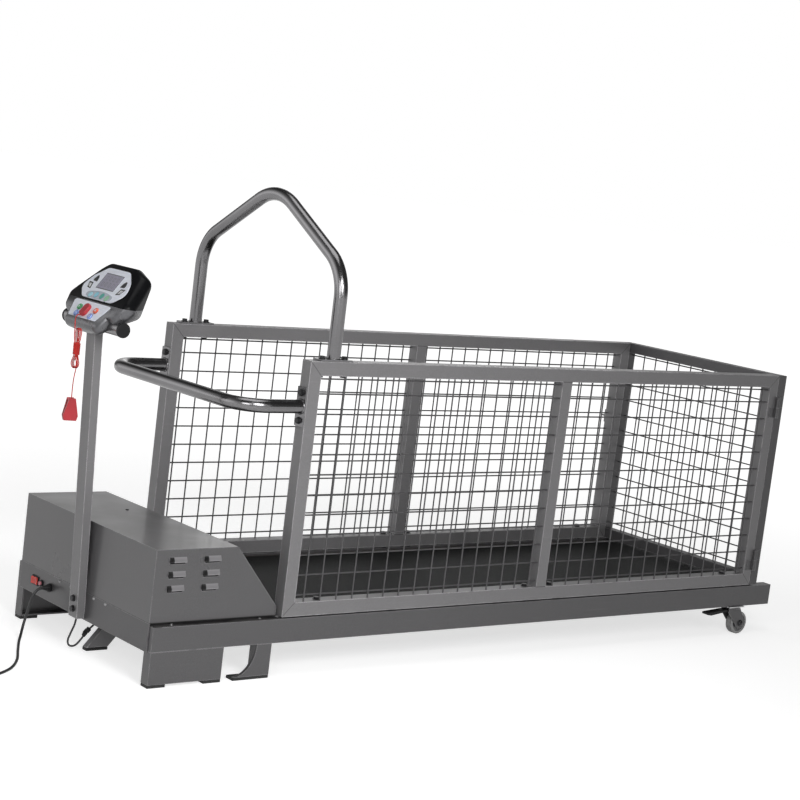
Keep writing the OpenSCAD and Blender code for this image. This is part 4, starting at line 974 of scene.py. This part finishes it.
class Finishes:
    """All materials of the machine, built once and found by their use."""

    def __init__(self, machine: Machine) -> None:
        """Builds the finishes.

        Args:
            machine: The machine's main places, which some finishes are laid out by.
        """
        effects = Effects()
        table = self._metals(machine) | self._mouldings() | self._prints(machine)
        self._made = {use: finish.build(effects) for use, finish in table.items()}

    def __getitem__(self, use: str) -> Material:
        """Gives the material for a use."""
        return self._made[use]

    @staticmethod
    def _metals(machine: Machine) -> dict[str, Finish]:
        """Lists the paints and the bright metals.

        Args:
            machine: The machine's main places.

        Returns:
            The finishes by their use.
        """
        grey = (0.086, 0.084, 0.087)
        pale = (0.200, 0.196, 0.201)
        return {
            "frame": Paint("frame_hammertone", grey, coat=0.2),
            "cage": Paint("cage_hammertone", pale, joints=machine.cage_joints()),
            "gate": Paint("gate_hammertone", grey, joints=machine.gate_joints()),
            "mast": Paint("mast_hammertone", pale),
            "hood": Paint("hood_hammertone", grey, roughness=0.32, relief=0.1, coat=0.3,
                          pressing=machine.hood_pressing()),
            "wire": Paint("wire_paint", (0.085, 0.083, 0.086), scale=500.0, wear=0.0, dust=0.05),
            "panel": Paint("panel_stove_paint", (0.076, 0.074, 0.077), relief=0.1, coat=0.2),
            "under": Paint("underframe_paint", (0.05, 0.049, 0.051), roughness=0.55, dust=0.3),
            "motor": Paint("motor_enamel", (0.03, 0.03, 0.032), roughness=0.35, relief=0.06),
            "tube": Gloss("tube_lacquer", (0.185, 0.182, 0.187), 0.21, metallic=0.95, streak=0.05),
            "zinc": Gloss("zinc_plate", (0.62, 0.62, 0.63), 0.3),
            "screw": Gloss("dull_screw", (0.24, 0.238, 0.242), 0.42),
            "bolt": Gloss("black_oxide", (0.035, 0.035, 0.037), 0.38, metallic=0.7)}

    @staticmethod
    def _mouldings() -> dict[str, Finish]:
        """Lists the plastics, rubbers and the board.

        Returns:
            The finishes by their use.
        """
        return {
            "rubber": Plastic("pad_rubber", (0.022, 0.022, 0.022), 0.75, relief=0.3),
            "belt": BeltRubber(),
            "wood": DeckBoard(),
            "shell_black": Plastic("shell_moulding", (0.006, 0.0062, 0.007), 0.3, dust=0.0, gloss=0.08),
            "shell_grey": Plastic("shell_gunmetal", (0.12, 0.12, 0.127), 0.27, metallic=0.6, dust=0.03),
            "black": Plastic("black_moulding", (0.012, 0.012, 0.013), 0.45, dust=0.04, gloss=0.2),
            "cord": Plastic("cord_sheath", (0.014, 0.014, 0.015), 0.5, grain=1500.0, relief=0.08),
            "red": Plastic("red_moulding", (0.42, 0.025, 0.035), 0.34),
            "rocker": Plastic("rocker_red", (0.74, 0.06, 0.045), 0.28, wear=0.0),
            "pink": Plastic("pink_moulding", (0.60, 0.20, 0.24), 0.35),
            "green": Plastic("green_moulding", (0.08, 0.36, 0.15), 0.32, wear=0.0),
            "orange": Plastic("orange_moulding", (0.72, 0.13, 0.07), 0.32, wear=0.0),
            "blue": Plastic("blue_moulding", (0.27, 0.38, 0.76), 0.32, wear=0.0)}

    @staticmethod
    def _prints(machine: Machine) -> dict[str, Finish]:
        """Lists the films, the window, the braid and the tyre.

        Args:
            machine: The machine's main places.

        Returns:
            The finishes by their use.
        """
        return {
            "silver": Film("overlay_film", (0.84, 0.87, 0.95), 0.15, 0.34),
            "ink": Film("print_black", (0.02, 0.02, 0.023)),
            "ink_grey": Film("print_grey", (0.24, 0.25, 0.28), 0.1),
            "ink_pale": Film("print_pale", (0.46, 0.50, 0.57), 0.1),
            "ink_white": Film("print_white", (0.80, 0.81, 0.82)),
            "segment": Film("display_segment", (0.10, 0.095, 0.12), roughness=0.3),
            "window": WindowGlass(split=machine.lens_split()),
            "braid": Braid(),
            "tyre": CasterTyre("caster_tyre", (machine.wheel_x, machine.wheel_z))}


@dataclass(frozen=True)
class Lamp:
    """A soft square lamp: its place, aim and side in metres, its power in watts and its light's angle."""

    name: str
    place: Point
    aim: Point
    size: float
    power: float
    spread: float = 180.0

    def hang(self) -> None:
        """Hangs the lamp."""
        data = bpy.data.lights.new(self.name, "AREA")
        data.shape = "SQUARE"
        data.size = self.size
        data.energy = self.power
        data.spread = math.radians(self.spread)
        lamp = in_scene(self.name, data)
        lamp.location = Vector(self.place)
        lamp.rotation_mode = "QUATERNION"
        lamp.rotation_quaternion = (Vector(self.aim) - Vector(self.place)).to_track_quat("-Z", "Y")


@dataclass
class Studio:
    """Camera, floor, world and lamps."""

    place: Point = (-3494.5, -4086.9, 1327.6)
    forward: Point = (0.63155, 0.76451, -0.12911)
    roll: float = 7.017
    lens: float = 88.80
    floor_r: float = 40.0
    fill: float = 0.135
    window: Point = (-0.86, 0.50, 0.1)
    backdrop: Point = (0.63, 0.76, 0.13)
    lamps: tuple[Lamp, ...] = (
        Lamp("key_soft", (-1.35, -3.0, 1.9), (-0.75, -0.3, 0.66), 1.2, 15.0, 80.0),
        Lamp("fill_soft", (0.2, -4.6, 1.7), (0.1, 0.0, 0.4), 2.2, 10.0),
        Lamp("top_soft", (-0.6, -0.2, 4.4), (-0.3, 0.0, 0.3), 2.6, 45.0),
        Lamp("side_soft", (-2.6, -1.8, 1.4), (-0.8, -0.2, 0.7), 0.9, 17.0),
        Lamp("rim_soft", (2.8, 3.4, 2.2), (0.2, 0.0, 0.5), 2.0, 12.0))

    def build(self) -> None:
        """Sets up the camera, the floor, the world and the lamps."""
        bpy.context.scene.view_settings.view_transform = "Standard"
        self._camera()
        self._floor()
        self._world()
        for lamp in self.lamps:
            lamp.hang()

    def _camera(self) -> None:
        """Places the camera at the photograph's viewing angle."""
        ahead = Vector(self.forward).normalized()
        level = ahead.cross(Vector((0, 0, 1))).normalized()
        rise = level.cross(ahead)
        turn = math.radians(self.roll)
        right = level * math.cos(turn) + rise * math.sin(turn)
        up = right.cross(ahead)
        data = bpy.data.cameras.new("view_camera")
        data.sensor_width = 36.0
        data.lens = self.lens
        data.clip_end = 100.0
        camera = in_scene("view_camera", data)
        place = metres(self.place)
        camera.matrix_world = Matrix(((right.x, up.x, -ahead.x, place.x),
                                      (right.y, up.y, -ahead.y, place.y),
                                      (right.z, up.z, -ahead.z, place.z), (0, 0, 0, 1)))
        bpy.context.scene.camera = camera

    def _floor(self) -> None:
        """Lays a pale floor that keeps the machine's soft shadow and fades to white far off."""
        bm = bmesh.new()
        bmesh.ops.create_circle(bm, cap_ends=True, segments=96, radius=self.floor_r)
        mesh = mesh_of("floor", bm)
        sheet = MaterialSheet("floor_pale")
        sheet.put({"Base Color": (0.55, 0.55, 0.55, 1.0), "Roughness": 0.9, "Specular IOR Level": 0.0})
        glow = sheet.span(sheet.measure("LENGTH", sheet.place()), 1.6, 4.5, 0.70, 1.0)
        path = sheet.add("ShaderNodeLightPath").outputs
        seen = sheet.math("MAXIMUM", path["Is Camera Ray"], path["Is Glossy Ray"])
        seen = sheet.math("MAXIMUM", seen, path["Is Transmission Ray"])
        white = sheet.add("ShaderNodeEmission", {"Color": WHITE, "Strength": sheet.product(seen, glow)})
        both = sheet.add("ShaderNodeAddShader", {0: sheet.shader.outputs[0], 1: white.outputs[0]})
        sheet.fill(sheet.tree.nodes["Material Output"], {"Surface": both.outputs[0]})
        mesh.materials.append(sheet.material)
        floor = in_scene("floor", mesh)

    def _world(self) -> None:
        """Makes a white surround for the eye, a studio with a dim ceiling for gloss, and even fill light."""
        world = bpy.data.worlds.new("studio")
        bpy.context.scene.world = world
        world.use_nodes = True
        sheet = Sheet(world.node_tree)
        way = sheet.add("ShaderNodeTexCoord").outputs["Generated"]
        ceiling = sheet.span(sheet.axes(way)[2], 0.25, 0.6, 1.0, 0.3)
        window = sheet.span(sheet.measure("DOT_PRODUCT", way, self.window), 0.55, 0.95, 0.08, 1.9)
        backdrop = sheet.span(sheet.measure("DOT_PRODUCT", way, self.backdrop), 0.8, 0.98, 0.0, 0.75)
        room = sheet.product(ceiling, sheet.math("MAXIMUM", window, backdrop))
        path = sheet.add("ShaderNodeLightPath").outputs
        gloss = sheet.math("MAXIMUM", path["Is Glossy Ray"], path["Is Transmission Ray"])
        level = sheet.between(gloss, self.fill, room)
        level = sheet.between(path["Is Camera Ray"], level, 1.0)
        sheet.fill(sheet.tree.nodes["Background"], {"Strength": level, "Color": WHITE})


def draw_cord(name: str, points: Sequence[Vector], diameter: float, finish: Material, body: str) -> bpy.types.Object:
    """Draws a round cord on one smooth curve through its route's points.

    Args:
        name: The cord's name.
        points: Route points in millimetres.
        diameter: Its thickness in millimetres.
        finish: Its material.
        body: The CAD body that it rides on.

    Returns:
        The cord's curve object.
    """
    data = bpy.data.curves.new(name, "CURVE")
    data.dimensions = "3D"
    data.bevel_depth = diameter / 2 * MM
    data.bevel_resolution = 4
    data.resolution_u = 6
    data.use_fill_caps = True
    spline = data.splines.new("BEZIER")
    spline.bezier_points.add(len(points) - 1)
    for i, knot in enumerate(spline.bezier_points):
        here = points[i]
        before = points[max(i - 1, 0)]
        after = points[min(i + 1, len(points) - 1)]
        way = (after - before).normalized()
        knot.handle_left_type = "FREE"
        knot.handle_right_type = "FREE"
        knot.co = here * MM
        knot.handle_left = (here - way * ((here - before).length / 3)) * MM
        knot.handle_right = (here + way * ((after - here).length / 3)) * MM
    data.materials.append(finish)
    cord = in_scene(name, data)
    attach(cord, body)
    LOG.info("cord %s on %s, %d points", name, body, len(points))
    return cord


@dataclass
class Assembly:
    """A sub-assembly, with rows of the CAD nodes to dress: node, finish, edge radius and its facets."""

    machine: Machine
    looks: Finishes
    nodes: Rows = ()

    def build(self) -> None:
        """Dresses the nodes."""
        for node, use, *edge in self.nodes:
            dress(node, self.looks[use], *edge)

    def laid(self, route: Route) -> list[Vector]:
        """Gives the points of a route, whose x counts from the cage's front, in the machine's place."""
        return [Vector((x + self.machine.cage0, y, z)) for x, y, z in route]


@dataclass
class PowerLead(Assembly):
    """Mains lead: out of its grip, down to the floor, and off to a tied coil with its plug."""

    diameter: float = 7.0
    length: float = 1.78
    turns: int = 2
    inner_r: float = 30.0
    pitch: float = 9.0
    climb: float = 8.0
    floor: float = 3.6
    coil_turn: float = 275.0
    per_turn: int = 18
    tie_room: float = 1.4
    tie_cover: float = 1.2
    tie_wide: float = 14.0
    tie_t: float = 0.9
    tie_turn: float = 150.0
    tie_square: float = 0.45
    tie_lift: float = 0.1
    route: Route = (
        (-364, 155, 120), (-377, 155, 120), (-390, 155, 120), (-404, 155, 116), (-415, 155, 101),
        (-422, 155, 78), (-429, 154, 52), (-437, 150, 29), (-450, 134, 10), (-470, 104, 3.6), (-512, 30, 3.6),
        (-556, -48, 3.6), (-606, -108, 3.6), (-670, -146, 3.6), (-742, -166, 3.6), (-814, -172, 3.6))

    def coil_frame(self) -> Matrix:
        """Gives the coil's frame, whose y axis carries on the lead's last run.

        Returns:
            The frame's matrix in millimetres.
        """
        end = self.laid(self.route)[-1]
        start = self.inner_r + self.pitch * self.turns
        back = Matrix.Translation((-start, -self.diameter * 2, 0))
        return Matrix.Translation((end.x, end.y, 0)) @ turned(self.coil_turn, "Z") @ back

    def coil_point(self, t: float) -> Vector:
        """Gives a point of the coil after t turns, in the coil's frame.

        Args:
            t: Turns from the start.

        Returns:
            The point in millimetres.
        """
        n = self.turns
        r = self.inner_r + self.pitch * max(n - t, t - n - 0.5, 0.0)
        rise = self.climb * min(max((t - n) * 2, 0.0), 1.0)
        angle = math.tau * t
        return Vector((r * math.cos(angle), -r * math.sin(angle), self.floor + rise))

    def points(self) -> list[Vector]:
        """Lines up the whole lead's points, down its route and round its coil.

        Returns:
            The points in millimetres.
        """
        frame = self.coil_frame()
        total = self.turns * 2 + 0.5
        count = round(total * self.per_turn)
        coil = [self.coil_point(total * k / count) for k in range(count + 1)]
        coil.append(coil[-1] + Vector((0, self.diameter * 2, 0)))
        return self.laid(self.route) + [frame @ p for p in coil]

    def build(self) -> None:
        """Draws the lead, its tie and its plug."""
        path = self.points()
        lead = draw_cord("power_lead", path, self.diameter, self.looks["cord"], "base")
        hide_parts("power_cord", "power_coil")
        plug = dress("power_plug", self.looks["black"], 1.6, 3)
        tie = self._tie()

    def _tie(self) -> bpy.types.Object:
        """Closes a strap round the coil's turns.

        Returns:
            The strap's object.
        """
        half = self.pitch + self.diameter / 2 + self.tie_room
        high = self.floor + self.climb + self.diameter / 2 + self.tie_cover - self.tie_lift
        bm = bmesh.new()
        bmesh.ops.create_circle(bm, segments=40, radius=1.0)
        for v in bm.verts:
            wide = math.copysign(abs(v.co.x) ** self.tie_square, v.co.x)
            tall = math.copysign(abs(v.co.y) ** self.tie_square, v.co.y)
            v.co = metres((0.0, wide * half, (tall * 0.5 + 0.5) * high + self.tie_lift))
        loop = bmesh.ops.extrude_edge_only(bm, edges=bm.edges)
        bmesh.ops.translate(bm, vec=(self.tie_wide * MM, 0, 0), verts=new_verts(loop))
        bmesh.ops.recalc_face_normals(bm, faces=bm.faces)
        bmesh.ops.solidify(bm, geom=bm.faces, thickness=self.tie_t * MM)
        out = turned(self.tie_turn, "Z") @ frame_at((self.inner_r + self.pitch, 0, 0))
        lie = turned(90, "Z") @ frame_at((-self.tie_wide / 2, 0, 0))
        frame = self.coil_frame()
        frame.translation = frame.translation * MM
        bmesh.ops.transform(bm, matrix=frame @ out @ lie, verts=bm.verts)
        return add_piece("power_lead_tie", bm, "base", self.looks["black"])


@dataclass
class ConsoleLead(Assembly):
    """Console cable: a loop from the mast's open foot to the motor pan, with a plug-in connector."""

    diameter: float = 5.0
    length: float = 0.2
    connector_at: int = 8
    shells: tuple[tuple[Point, Point, float], ...] = (
        ((11, 9, 13), (0, 0, -6.8), 1.2), ((12.5, 10.5, 11), (0, 0, 5.8), 1.2),
        ((5, 2.2, 12), (0, 5.8, -1), 0.6))
    route: Route = (
        (-377, 0, 98), (-377, 0, 86), (-378, 4, 66), (-382, 12, 42), (-384, 18, 22), (-379, 17, 10),
        (-369, 8, 12), (-359, -2, 30), (-350, -9, 50), (-338, -13, 64), (-326, -14, 75), (-323, -14, 80),
        (-323, -14, 87))

    def build(self) -> None:
        """Draws the cable and its connector."""
        path = self.laid(self.route)
        cable = draw_cord("console_lead", path, self.diameter, self.looks["cord"], "base")
        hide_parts("console_cable")
        way = (path[self.connector_at + 1] - path[self.connector_at - 1]).normalized()
        frame = frame_at(path[self.connector_at]) @ way.to_track_quat("Z", "Y").to_matrix().to_4x4()
        shells = [block(size, frame @ frame_at(middle), edge) for size, middle, edge in self.shells]
        plug = add_piece("console_lead_connector", joined(shells), "base",
                         self.looks["black"])


@dataclass
class Lanyard(Assembly):
    """Safety key's lanyard: over the console's lip, through a wrapped hank and down to its clip."""

    diameter: float = 2.4
    length: float = 0.89
    loops: int = 3
    pitch: float = 3.4
    wrap_turns: int = 12
    wrap_top: float = 12.0
    wrap_fore: float = 0.3
    wrap_pack: float = 0.98
    wrap_tilt: float = 7.0
    wrap_half: Spot = (7.4, 3.9)
    over: Route = ((-4, 0, 7), (-10, -3, 8), (-20, -11, 4), (-29, -24, -4))
    fall: Route = ((-29, -45, -132), (-31, -46, -152), (-31, -46, -204))
    hank: Point = (-31, -46, -67)
    side: Outline = (
        (5.1, 45.5), (7.9, 40.5), (8.0, 34.5), (6.0, 23.0), (2.6, 12.0), (1.4, 2.0), (1.4, -8.0),
        (2.2, -16.0), (6.2, -24.0), (10.4, -31.0), (11.4, -37.4), (7.6, -43.6))
    foot: float = -46.4
    crown: float = 47.4
    skip: int = 2
    lead: Point = (1.0, 2.0, 12.0)
    tail: Route = (
        (5.1, 5.1, 45.5), (5.1, 7.9, 40.5), (5.1, 7.8, 34.0), (5.1, 5.6, 22.0), (5.1, 2.2, 11.0),
        (5.1, 1.4, -3.0), (5.6, 1.6, -17.0), (6.4, 2.2, -32.0), (5.6, 2.6, -48.0))

    def hank_points(self) -> list[Vector]:
        """Gives the hank's points round its own middle, in millimetres.

        Returns:
            Points down one side of each loop, up the other and over its top.
        """
        down = [Vector((0, y, z)) for y, z in self.side]
        up = [Vector((0, -p.y, p.z)) for p in reversed(down)]
        ring = down + [Vector((0, 0, self.foot))] + up + [Vector((0, 0, self.crown))]
        wide = self.pitch * self.loops
        points = [p + Vector((self.pitch * k / len(ring) - wide / 2, 0, 0))
                  for k, p in enumerate(ring * self.loops)]
        return points[self.skip:] + [Vector(p) for p in self.tail]

    def build(self) -> None:
        """Draws the lanyard, its wrap and its clip."""
        face = Vector(self.machine.face)
        middle = face + Vector(self.hank)
        wound = [middle + p for p in self.hank_points()]
        path = [face + Vector(p) for p in self.over]
        path.append(wound[0] + Vector(self.lead))
        path += wound
        path += [face + Vector(p) for p in self.fall]
        cord = draw_cord("safety_lanyard", path, self.diameter, self.looks["braid"], "safety")
        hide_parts("lanyard_cord", "lanyard_hank")
        clip = dress("lanyard_clip", self.looks["red"], 0.8)
        wrap = self._wrap(middle)

    def _wrap(self, middle: Vector) -> bpy.types.Object:
        """Winds turns of the same cord tight round the hank's waist.

        Args:
            middle: The hank's middle in millimetres.

        Returns:
            The wrap's object.
        """
        wide, deep = self.wrap_half
        section = frame_at((deep, 0, 0)) @ turned(90, "X")
        oval = turned(self.wrap_tilt, "Y") @ Matrix.Diagonal((wide / deep, 1.0, 1.0, 1.0))
        rings = []
        for k in range(self.wrap_turns):
            drop = Vector((self.wrap_fore, 0, self.wrap_top - k * self.diameter * self.wrap_pack))
            bm = bmesh.new()
            bmesh.ops.create_circle(bm, segments=12, radius=self.diameter / 2 * MM, matrix=section)
            bmesh.ops.spin(bm, geom=bm.verts[:] + bm.edges[:], cent=(0, 0, 0), axis=(0, 0, 1), dvec=(0, 0, 0),
                           angle=math.tau, steps=36, use_merge=True)
            bmesh.ops.transform(bm, matrix=frame_at(middle + drop) @ oval, verts=bm.verts)
            rings.append(bm)
        return add_piece("safety_lanyard_wrap", joined(rings), "safety", self.looks["braid"],
                         Shade.SMOOTH)


@dataclass
class BaseFrame(Assembly):
    """Rails, cross members, front panel, legs and strut."""

    nodes: Rows = (
        ("side_rails", "frame", 2.5, 3), ("cross_members", "under", 1.0), ("front_panel", "panel", 0.8),
        # The front strut wears the paler mast paint: a lighter copy of the frame paint, painted light for a strut
        # that sits in shade.
        ("front_legs", "frame", 1.0), ("front_strut", "mast", 1.5), ("foot_pads", "rubber", 1.5))


@dataclass
class RunningDeck(Assembly):
    """Deck board, running belt, rollers, axles and tension screws."""

    nodes: Rows = (
        ("deck_board", "wood", 1.0), ("running_belt", "belt"), ("drive_roller", "zinc"),
        ("rear_roller", "zinc"), ("roller_axles", "zinc"), ("tension_screws", "zinc"))


@dataclass
class DriveUnit(Assembly):
    """Motor, flywheel, drive belt and speed controller under the hood."""

    nodes: Rows = (
        ("drive_motor", "motor", 1.5), ("motor_flywheel", "zinc", 1.0), ("drive_belt", "rubber"),
        ("motor_controller", "zinc", 0.5))


@dataclass
class MotorHood(Assembly):
    """Folded hood with louvres, its screws and a screw on its top."""

    nodes: Rows = (("motor_hood", "hood", 0.8), ("hood_screws", "screw"))
    top_screw: Point = (-881.0, 96.0, 329.0)
    screw_head: Outline = ((0, 2.2), (2.4, 2.0), (4.0, 1.2), (4.6, 0.0), (0, 0.0))

    def build(self) -> None:
        """Dresses the hood and adds the top screw."""
        super().build()
        head = lathe(self.screw_head, frame_at(self.top_screw))
        add_piece("hood_top_screw", head, "base", self.looks["bolt"])


@dataclass
class CageSides(Assembly):
    """Side frames, their wire panels and the bolts."""

    nodes: Rows = (
        ("near_cage_frame", "cage", 2.0, 3), ("near_cage_mesh", "wire"), ("far_cage_frame", "cage", 2.0, 3),
        ("far_cage_mesh", "wire"), ("hex_bolts", "bolt", 0.5))


@dataclass
class RearGate(Assembly):
    """Gate frame, its wire panel, hinges, latch and keeper."""

    nodes: Rows = (
        ("gate_frame", "gate", 2.0, 3), ("gate_mesh", "wire"), ("gate_hinges", "frame", 0.5),
        ("latch_bolt", "zinc", 0.8), ("latch_keeper", "frame", 0.8))


@dataclass
class TubeWork(Assembly):
    """Bent leash hoop and front U-bar, with weld beads at their flanges."""

    pipe_r: float = 17.0
    hoop_back: float = 78.0
    flange_t: float = 5.0
    u_height: float = 519.0
    bead: Outline = ((-0.3, 0.0), (2.4, 0.0), (2.0, 0.9), (0.9, 1.9), (-0.3, 2.6))
    ripple: float = 0.018
    ripple_step: float = 2.4

    def build(self) -> None:
        """Dresses the tubes and lays the weld beads."""
        smooth("leash_hoop", self.looks["tube"])
        smooth("front_u_bar", self.looks["tube"])
        m = self.machine
        post = m.half_w - m.tube / 2
        beads = []
        for side in (-1, 1):
            foot = (m.cage0 + self.hoop_back, side * post, m.cage_z + m.cage_h + self.flange_t)
            beads.append(self._bead(frame_at(foot)))
            front = (m.cage0 - self.flange_t, side * post, m.cage_z + self.u_height)
            beads.append(self._bead(frame_at(front, Axis.ALONG) @ turned(180, "X")))
        add_piece("tube_weld_beads", joined(beads), "base", self.looks["tube"], Shade.SMOOTH)

    def _bead(self, frame: Matrix) -> Mesh:
        """Lays a rippled bead round a tube's end.

        Args:
            frame: The tube's frame at its flange.

        Returns:
            The bead's mesh.
        """
        section = [(self.pipe_r + out, rise) for out, rise in self.bead]
        bm = lathe(section, frame, steps=72, closed=True)
        centre = frame.translation
        for i, v in enumerate(bm.verts):
            v.co = centre + (v.co - centre) * (1.0 + self.ripple * math.sin(i * self.ripple_step))
        return bm


@dataclass
class Mast(Assembly):
    """Mast, handlebar and console with its keys, prints and safety key."""

    nodes: Rows = (
        ("mast", "mast", 1.5, 3), ("handlebar_caps", "black", 1.2, 3), ("console_overlays", "silver", 0.3),
        ("console_windows", "window", 0.3), ("start_key", "green", 0.18), ("stop_key", "orange", 0.18),
        ("speed_up_key", "blue", 0.18), ("speed_down_key", "blue", 0.18), ("safety_key", "red", 2.6, 4))
    shell_crease: float = 50.0
    film: float = 1.2
    print_t: float = 0.12
    lens_places: Outline = ((38, 67), (13, 70), (-13, 70), (-38, 67))
    lens_r: float = 8.0
    lens_rim: float = 1.1
    band_half: int = 52
    band_step: int = 8
    band_low: Spot = (58.5, 0.0010)
    band_high: Spot = (82.0, -0.0024)
    band_end: Spot = (68.4, 6.5)
    display_half: float = 39.0
    display_z: Spot = (90.0, 134.0)
    bezel: float = 1.6
    marks: tuple[Outline, ...] = (
        ((54, 105), (73, 106), (74, 112), (69, 122), (64, 124), (57, 117)),
        ((59, 82), (76, 85), (84, 102), (65, 101)))
    panes: tuple[Outline, ...] = (
        ((64, 86), (70, 87), (75, 98), (69, 97.5)), ((72.5, 88), (75, 88.5), (79.5, 99), (77, 98.5)))
    digit_rows: Outline = ((-28.0, 97.0), (-26.0, 115.0))
    digit_step: float = 16.0
    digit: Spot = (8.0, 12.0)
    digit_bar: float = 1.1
    digit_gap: float = 0.3
    digit_t: float = 0.08
    key_out: float = 4.2
    sign_bar: Outline = ((-3.2, -0.7), (3.2, -0.7), (3.2, 0.7), (-3.2, 0.7))
    run_sign: Outline = ((-2.4, -3.2), (3.4, 0.0), (-2.4, 3.2))
    halt_sign: Outline = ((-2.6, -2.6), (2.6, -2.6), (2.6, 2.6), (-2.6, 2.6))

    def build(self) -> None:
        """Dresses the mast and console, and prints the overlays."""
        super().build()
        smooth("handlebar", self.looks["tube"])
        smooth("console_lower_shell", self.looks["shell_grey"], self.shell_crease)
        smooth("console_upper_shell", self.looks["shell_black"], self.shell_crease)
        face = self.machine.console(out=self.film)
        self._print("console_lens_band", [self._arc_band(face)], "ink_pale")
        self._print("console_prints", self._pairs(self.marks, self.print_t, face) + self._bezel(face), "ink")
        self._print("console_print_panes", self._pairs(self.panes, self.print_t * 2, face), "ink_white")
        self._print("console_lens_rims", self._rims(), "ink_grey")
        add_piece("console_display_digits", joined(self._digits()), "base",
                  self.looks["segment"])
        self._key_signs()

    def _print(self, name: str, parts: Sequence[Mesh], use: str, body: str = "base") -> None:
        """Adds prints as one piece of an overlay or a key."""
        add_piece(name, joined(parts), body, self.looks[use])

    @staticmethod
    def _pairs(outlines: Sequence[Outline], height: float, face: Matrix) -> list[Mesh]:
        """Prints outlines on both sides of the display."""
        return [flat_print([(side * x, y) for x, y in outline], height, face)
                for side in (-1, 1) for outline in outlines]

    def _rims(self) -> list[Mesh]:
        """Prints a dark ring round each lens.

        Returns:
            The rings' meshes.
        """
        inner = self.lens_r
        outer = inner + self.lens_rim
        high = self.print_t * 2
        section = [(inner, 0.0), (outer, 0.0), (outer, high), (inner, high)]
        return [lathe(section, self.machine.console(y, z, self.film), 32, True) for y, z in self.lens_places]

    def _key_signs(self) -> None:
        """Prints a plain sign on each key: run, halt, more and less."""
        post = tuple((-y, x) for x, y in self.sign_bar)
        keys = {"start": (38, 27, [self.run_sign]), "stop": (-38, 27, [self.halt_sign]),
                "speed_up": (-32, 8.8, [self.sign_bar, post]), "speed_down": (32, 8.8, [self.sign_bar])}
        for key, (y, z, outlines) in keys.items():
            frame = self.machine.console(y, z, self.key_out)
            signs = [flat_print(outline, self.print_t, frame) for outline in outlines]
            self._print(f"{key}_key_sign", signs, "ink_white", key)

    def _arc_band(self, face: Matrix) -> Mesh:
        """Makes the darker arc behind the lenses, with rounded ends.

        Args:
            face: The overlay's frame.

        Returns:
            The band's mesh.
        """
        half = self.band_half
        spread = range(-half, half + 1, self.band_step)
        low = [(x, self.band_low[0] + self.band_low[1] * x * x) for x in spread]
        high = [(x, self.band_high[0] + self.band_high[1] * x * x) for x in reversed(spread)]
        level, r = self.band_end
        right = [(half + r * math.cos(a), level + r * math.sin(a)) for a in (-1.0, -0.5, 0.0, 0.5, 1.0)]
        left = [(-x, y) for x, y in reversed(right)]
        return flat_print(low + right + high + left, self.print_t, face)

    def _bezel(self, face: Matrix) -> list[Mesh]:
        """Prints four strips round the display.

        Args:
            face: The overlay's frame.

        Returns:
            The strips' meshes.
        """
        w = self.bezel
        x = self.display_half + w
        y0 = self.display_z[0] - w
        y1 = self.display_z[1] + w
        boxes = [(-x, y0, x, y0 + w), (-x, y1 - w, x, y1), (-x, y0 + w, -x + w, y1 - w),
                 (x - w, y0 + w, x, y1 - w)]
        return strips(boxes, self.print_t, face)

    def _digits(self) -> list[Mesh]:
        """Draws two rows of seven-bar digits behind the display's glass, each showing a nought.

        Returns:
            The bars' meshes.
        """
        face = self.machine.console(out=self.film * 1.5)
        wide, high = self.digit
        t = self.digit_bar
        gap = self.digit_gap
        bars = []
        for start, y in self.digit_rows:
            mid = y + high / 2
            top = y + high
            for col in range(4):
                x = start + col * self.digit_step
                end = x + wide
                bars += strips([(x + t, y, end - t, y + t), (x + t, top - t, end - t, top),
                                (x, y + t, x + t, mid - gap), (x, mid + gap, x + t, top - t),
                                (end - t, y + t, end, mid - gap), (end - t, mid + gap, end, top - t)],
                               self.digit_t, face)
        return bars


@dataclass
class PowerFittings(Assembly):
    """Rocker switch, breaker and cord grip on the front panel."""

    nodes: Rows = (
        ("switch_bodies", "black", 0.6), ("power_rocker", "rocker", 0.6), ("breaker_button", "pink", 0.8),
        ("cord_grip", "black"))


@dataclass
class Casters(Assembly):
    """Rear casters: plates, forks, wheels, capped nuts and brake pedals."""

    nodes: Rows = (
        ("caster_plates", "zinc", 0.6), ("near_caster_fork", "frame", 0.6), ("near_caster_wheel", "tyre"),
        ("near_caster_pedal", "black", 0.8), ("far_caster_fork", "frame", 0.6), ("far_caster_wheel", "tyre"),
        ("far_caster_pedal", "black", 0.8))
    swivel_y: float = 312.0
    cheek: float = 16.0
    cap: Outline = (
        (0, 7.2), (3.6, 7.0), (6.2, 6.0), (7.6, 4.2), (8.6, 1.4), (9.6, 1.2), (9.6, 0.0), (0, 0.0))

    def build(self) -> None:
        """Dresses the casters and adds their nuts."""
        super().build()
        self._nuts("near", -self.swivel_y)
        self._nuts("far", self.swivel_y)

    def _nuts(self, side: str, y: float) -> None:
        """Adds a dark capped nut over each end of a wheel's bolt.

        Args:
            side: Near or far.
            y: The wheel's middle across the machine, in millimetres.
        """
        m = self.machine
        nuts = []
        for way in (-1, 1):
            frame = frame_at((m.wheel_x, y + way * self.cheek, m.wheel_z), Axis.ACROSS)
            if way < 0:
                frame = frame @ turned(180, "X")
            nuts.append(lathe(self.cap, frame, 32))
        add_piece(f"{side}_caster_nuts", joined(nuts), f"{side}_fork", self.looks["bolt"])


def main() -> None:
    """Builds the scene, sub-assembly by sub-assembly."""
    logging.basicConfig(level=logging.INFO, format="%(name)s: %(message)s")
    machine = Machine()
    Studio().build()
    looks = Finishes(machine)
    parts = (PowerLead, ConsoleLead, Lanyard, BaseFrame, RunningDeck, DriveUnit, MotorHood, CageSides,
             RearGate, TubeWork, Mast, PowerFittings, Casters)
    for part in parts:
        part(machine, looks).build()


if __name__ == "__main__":
    main()
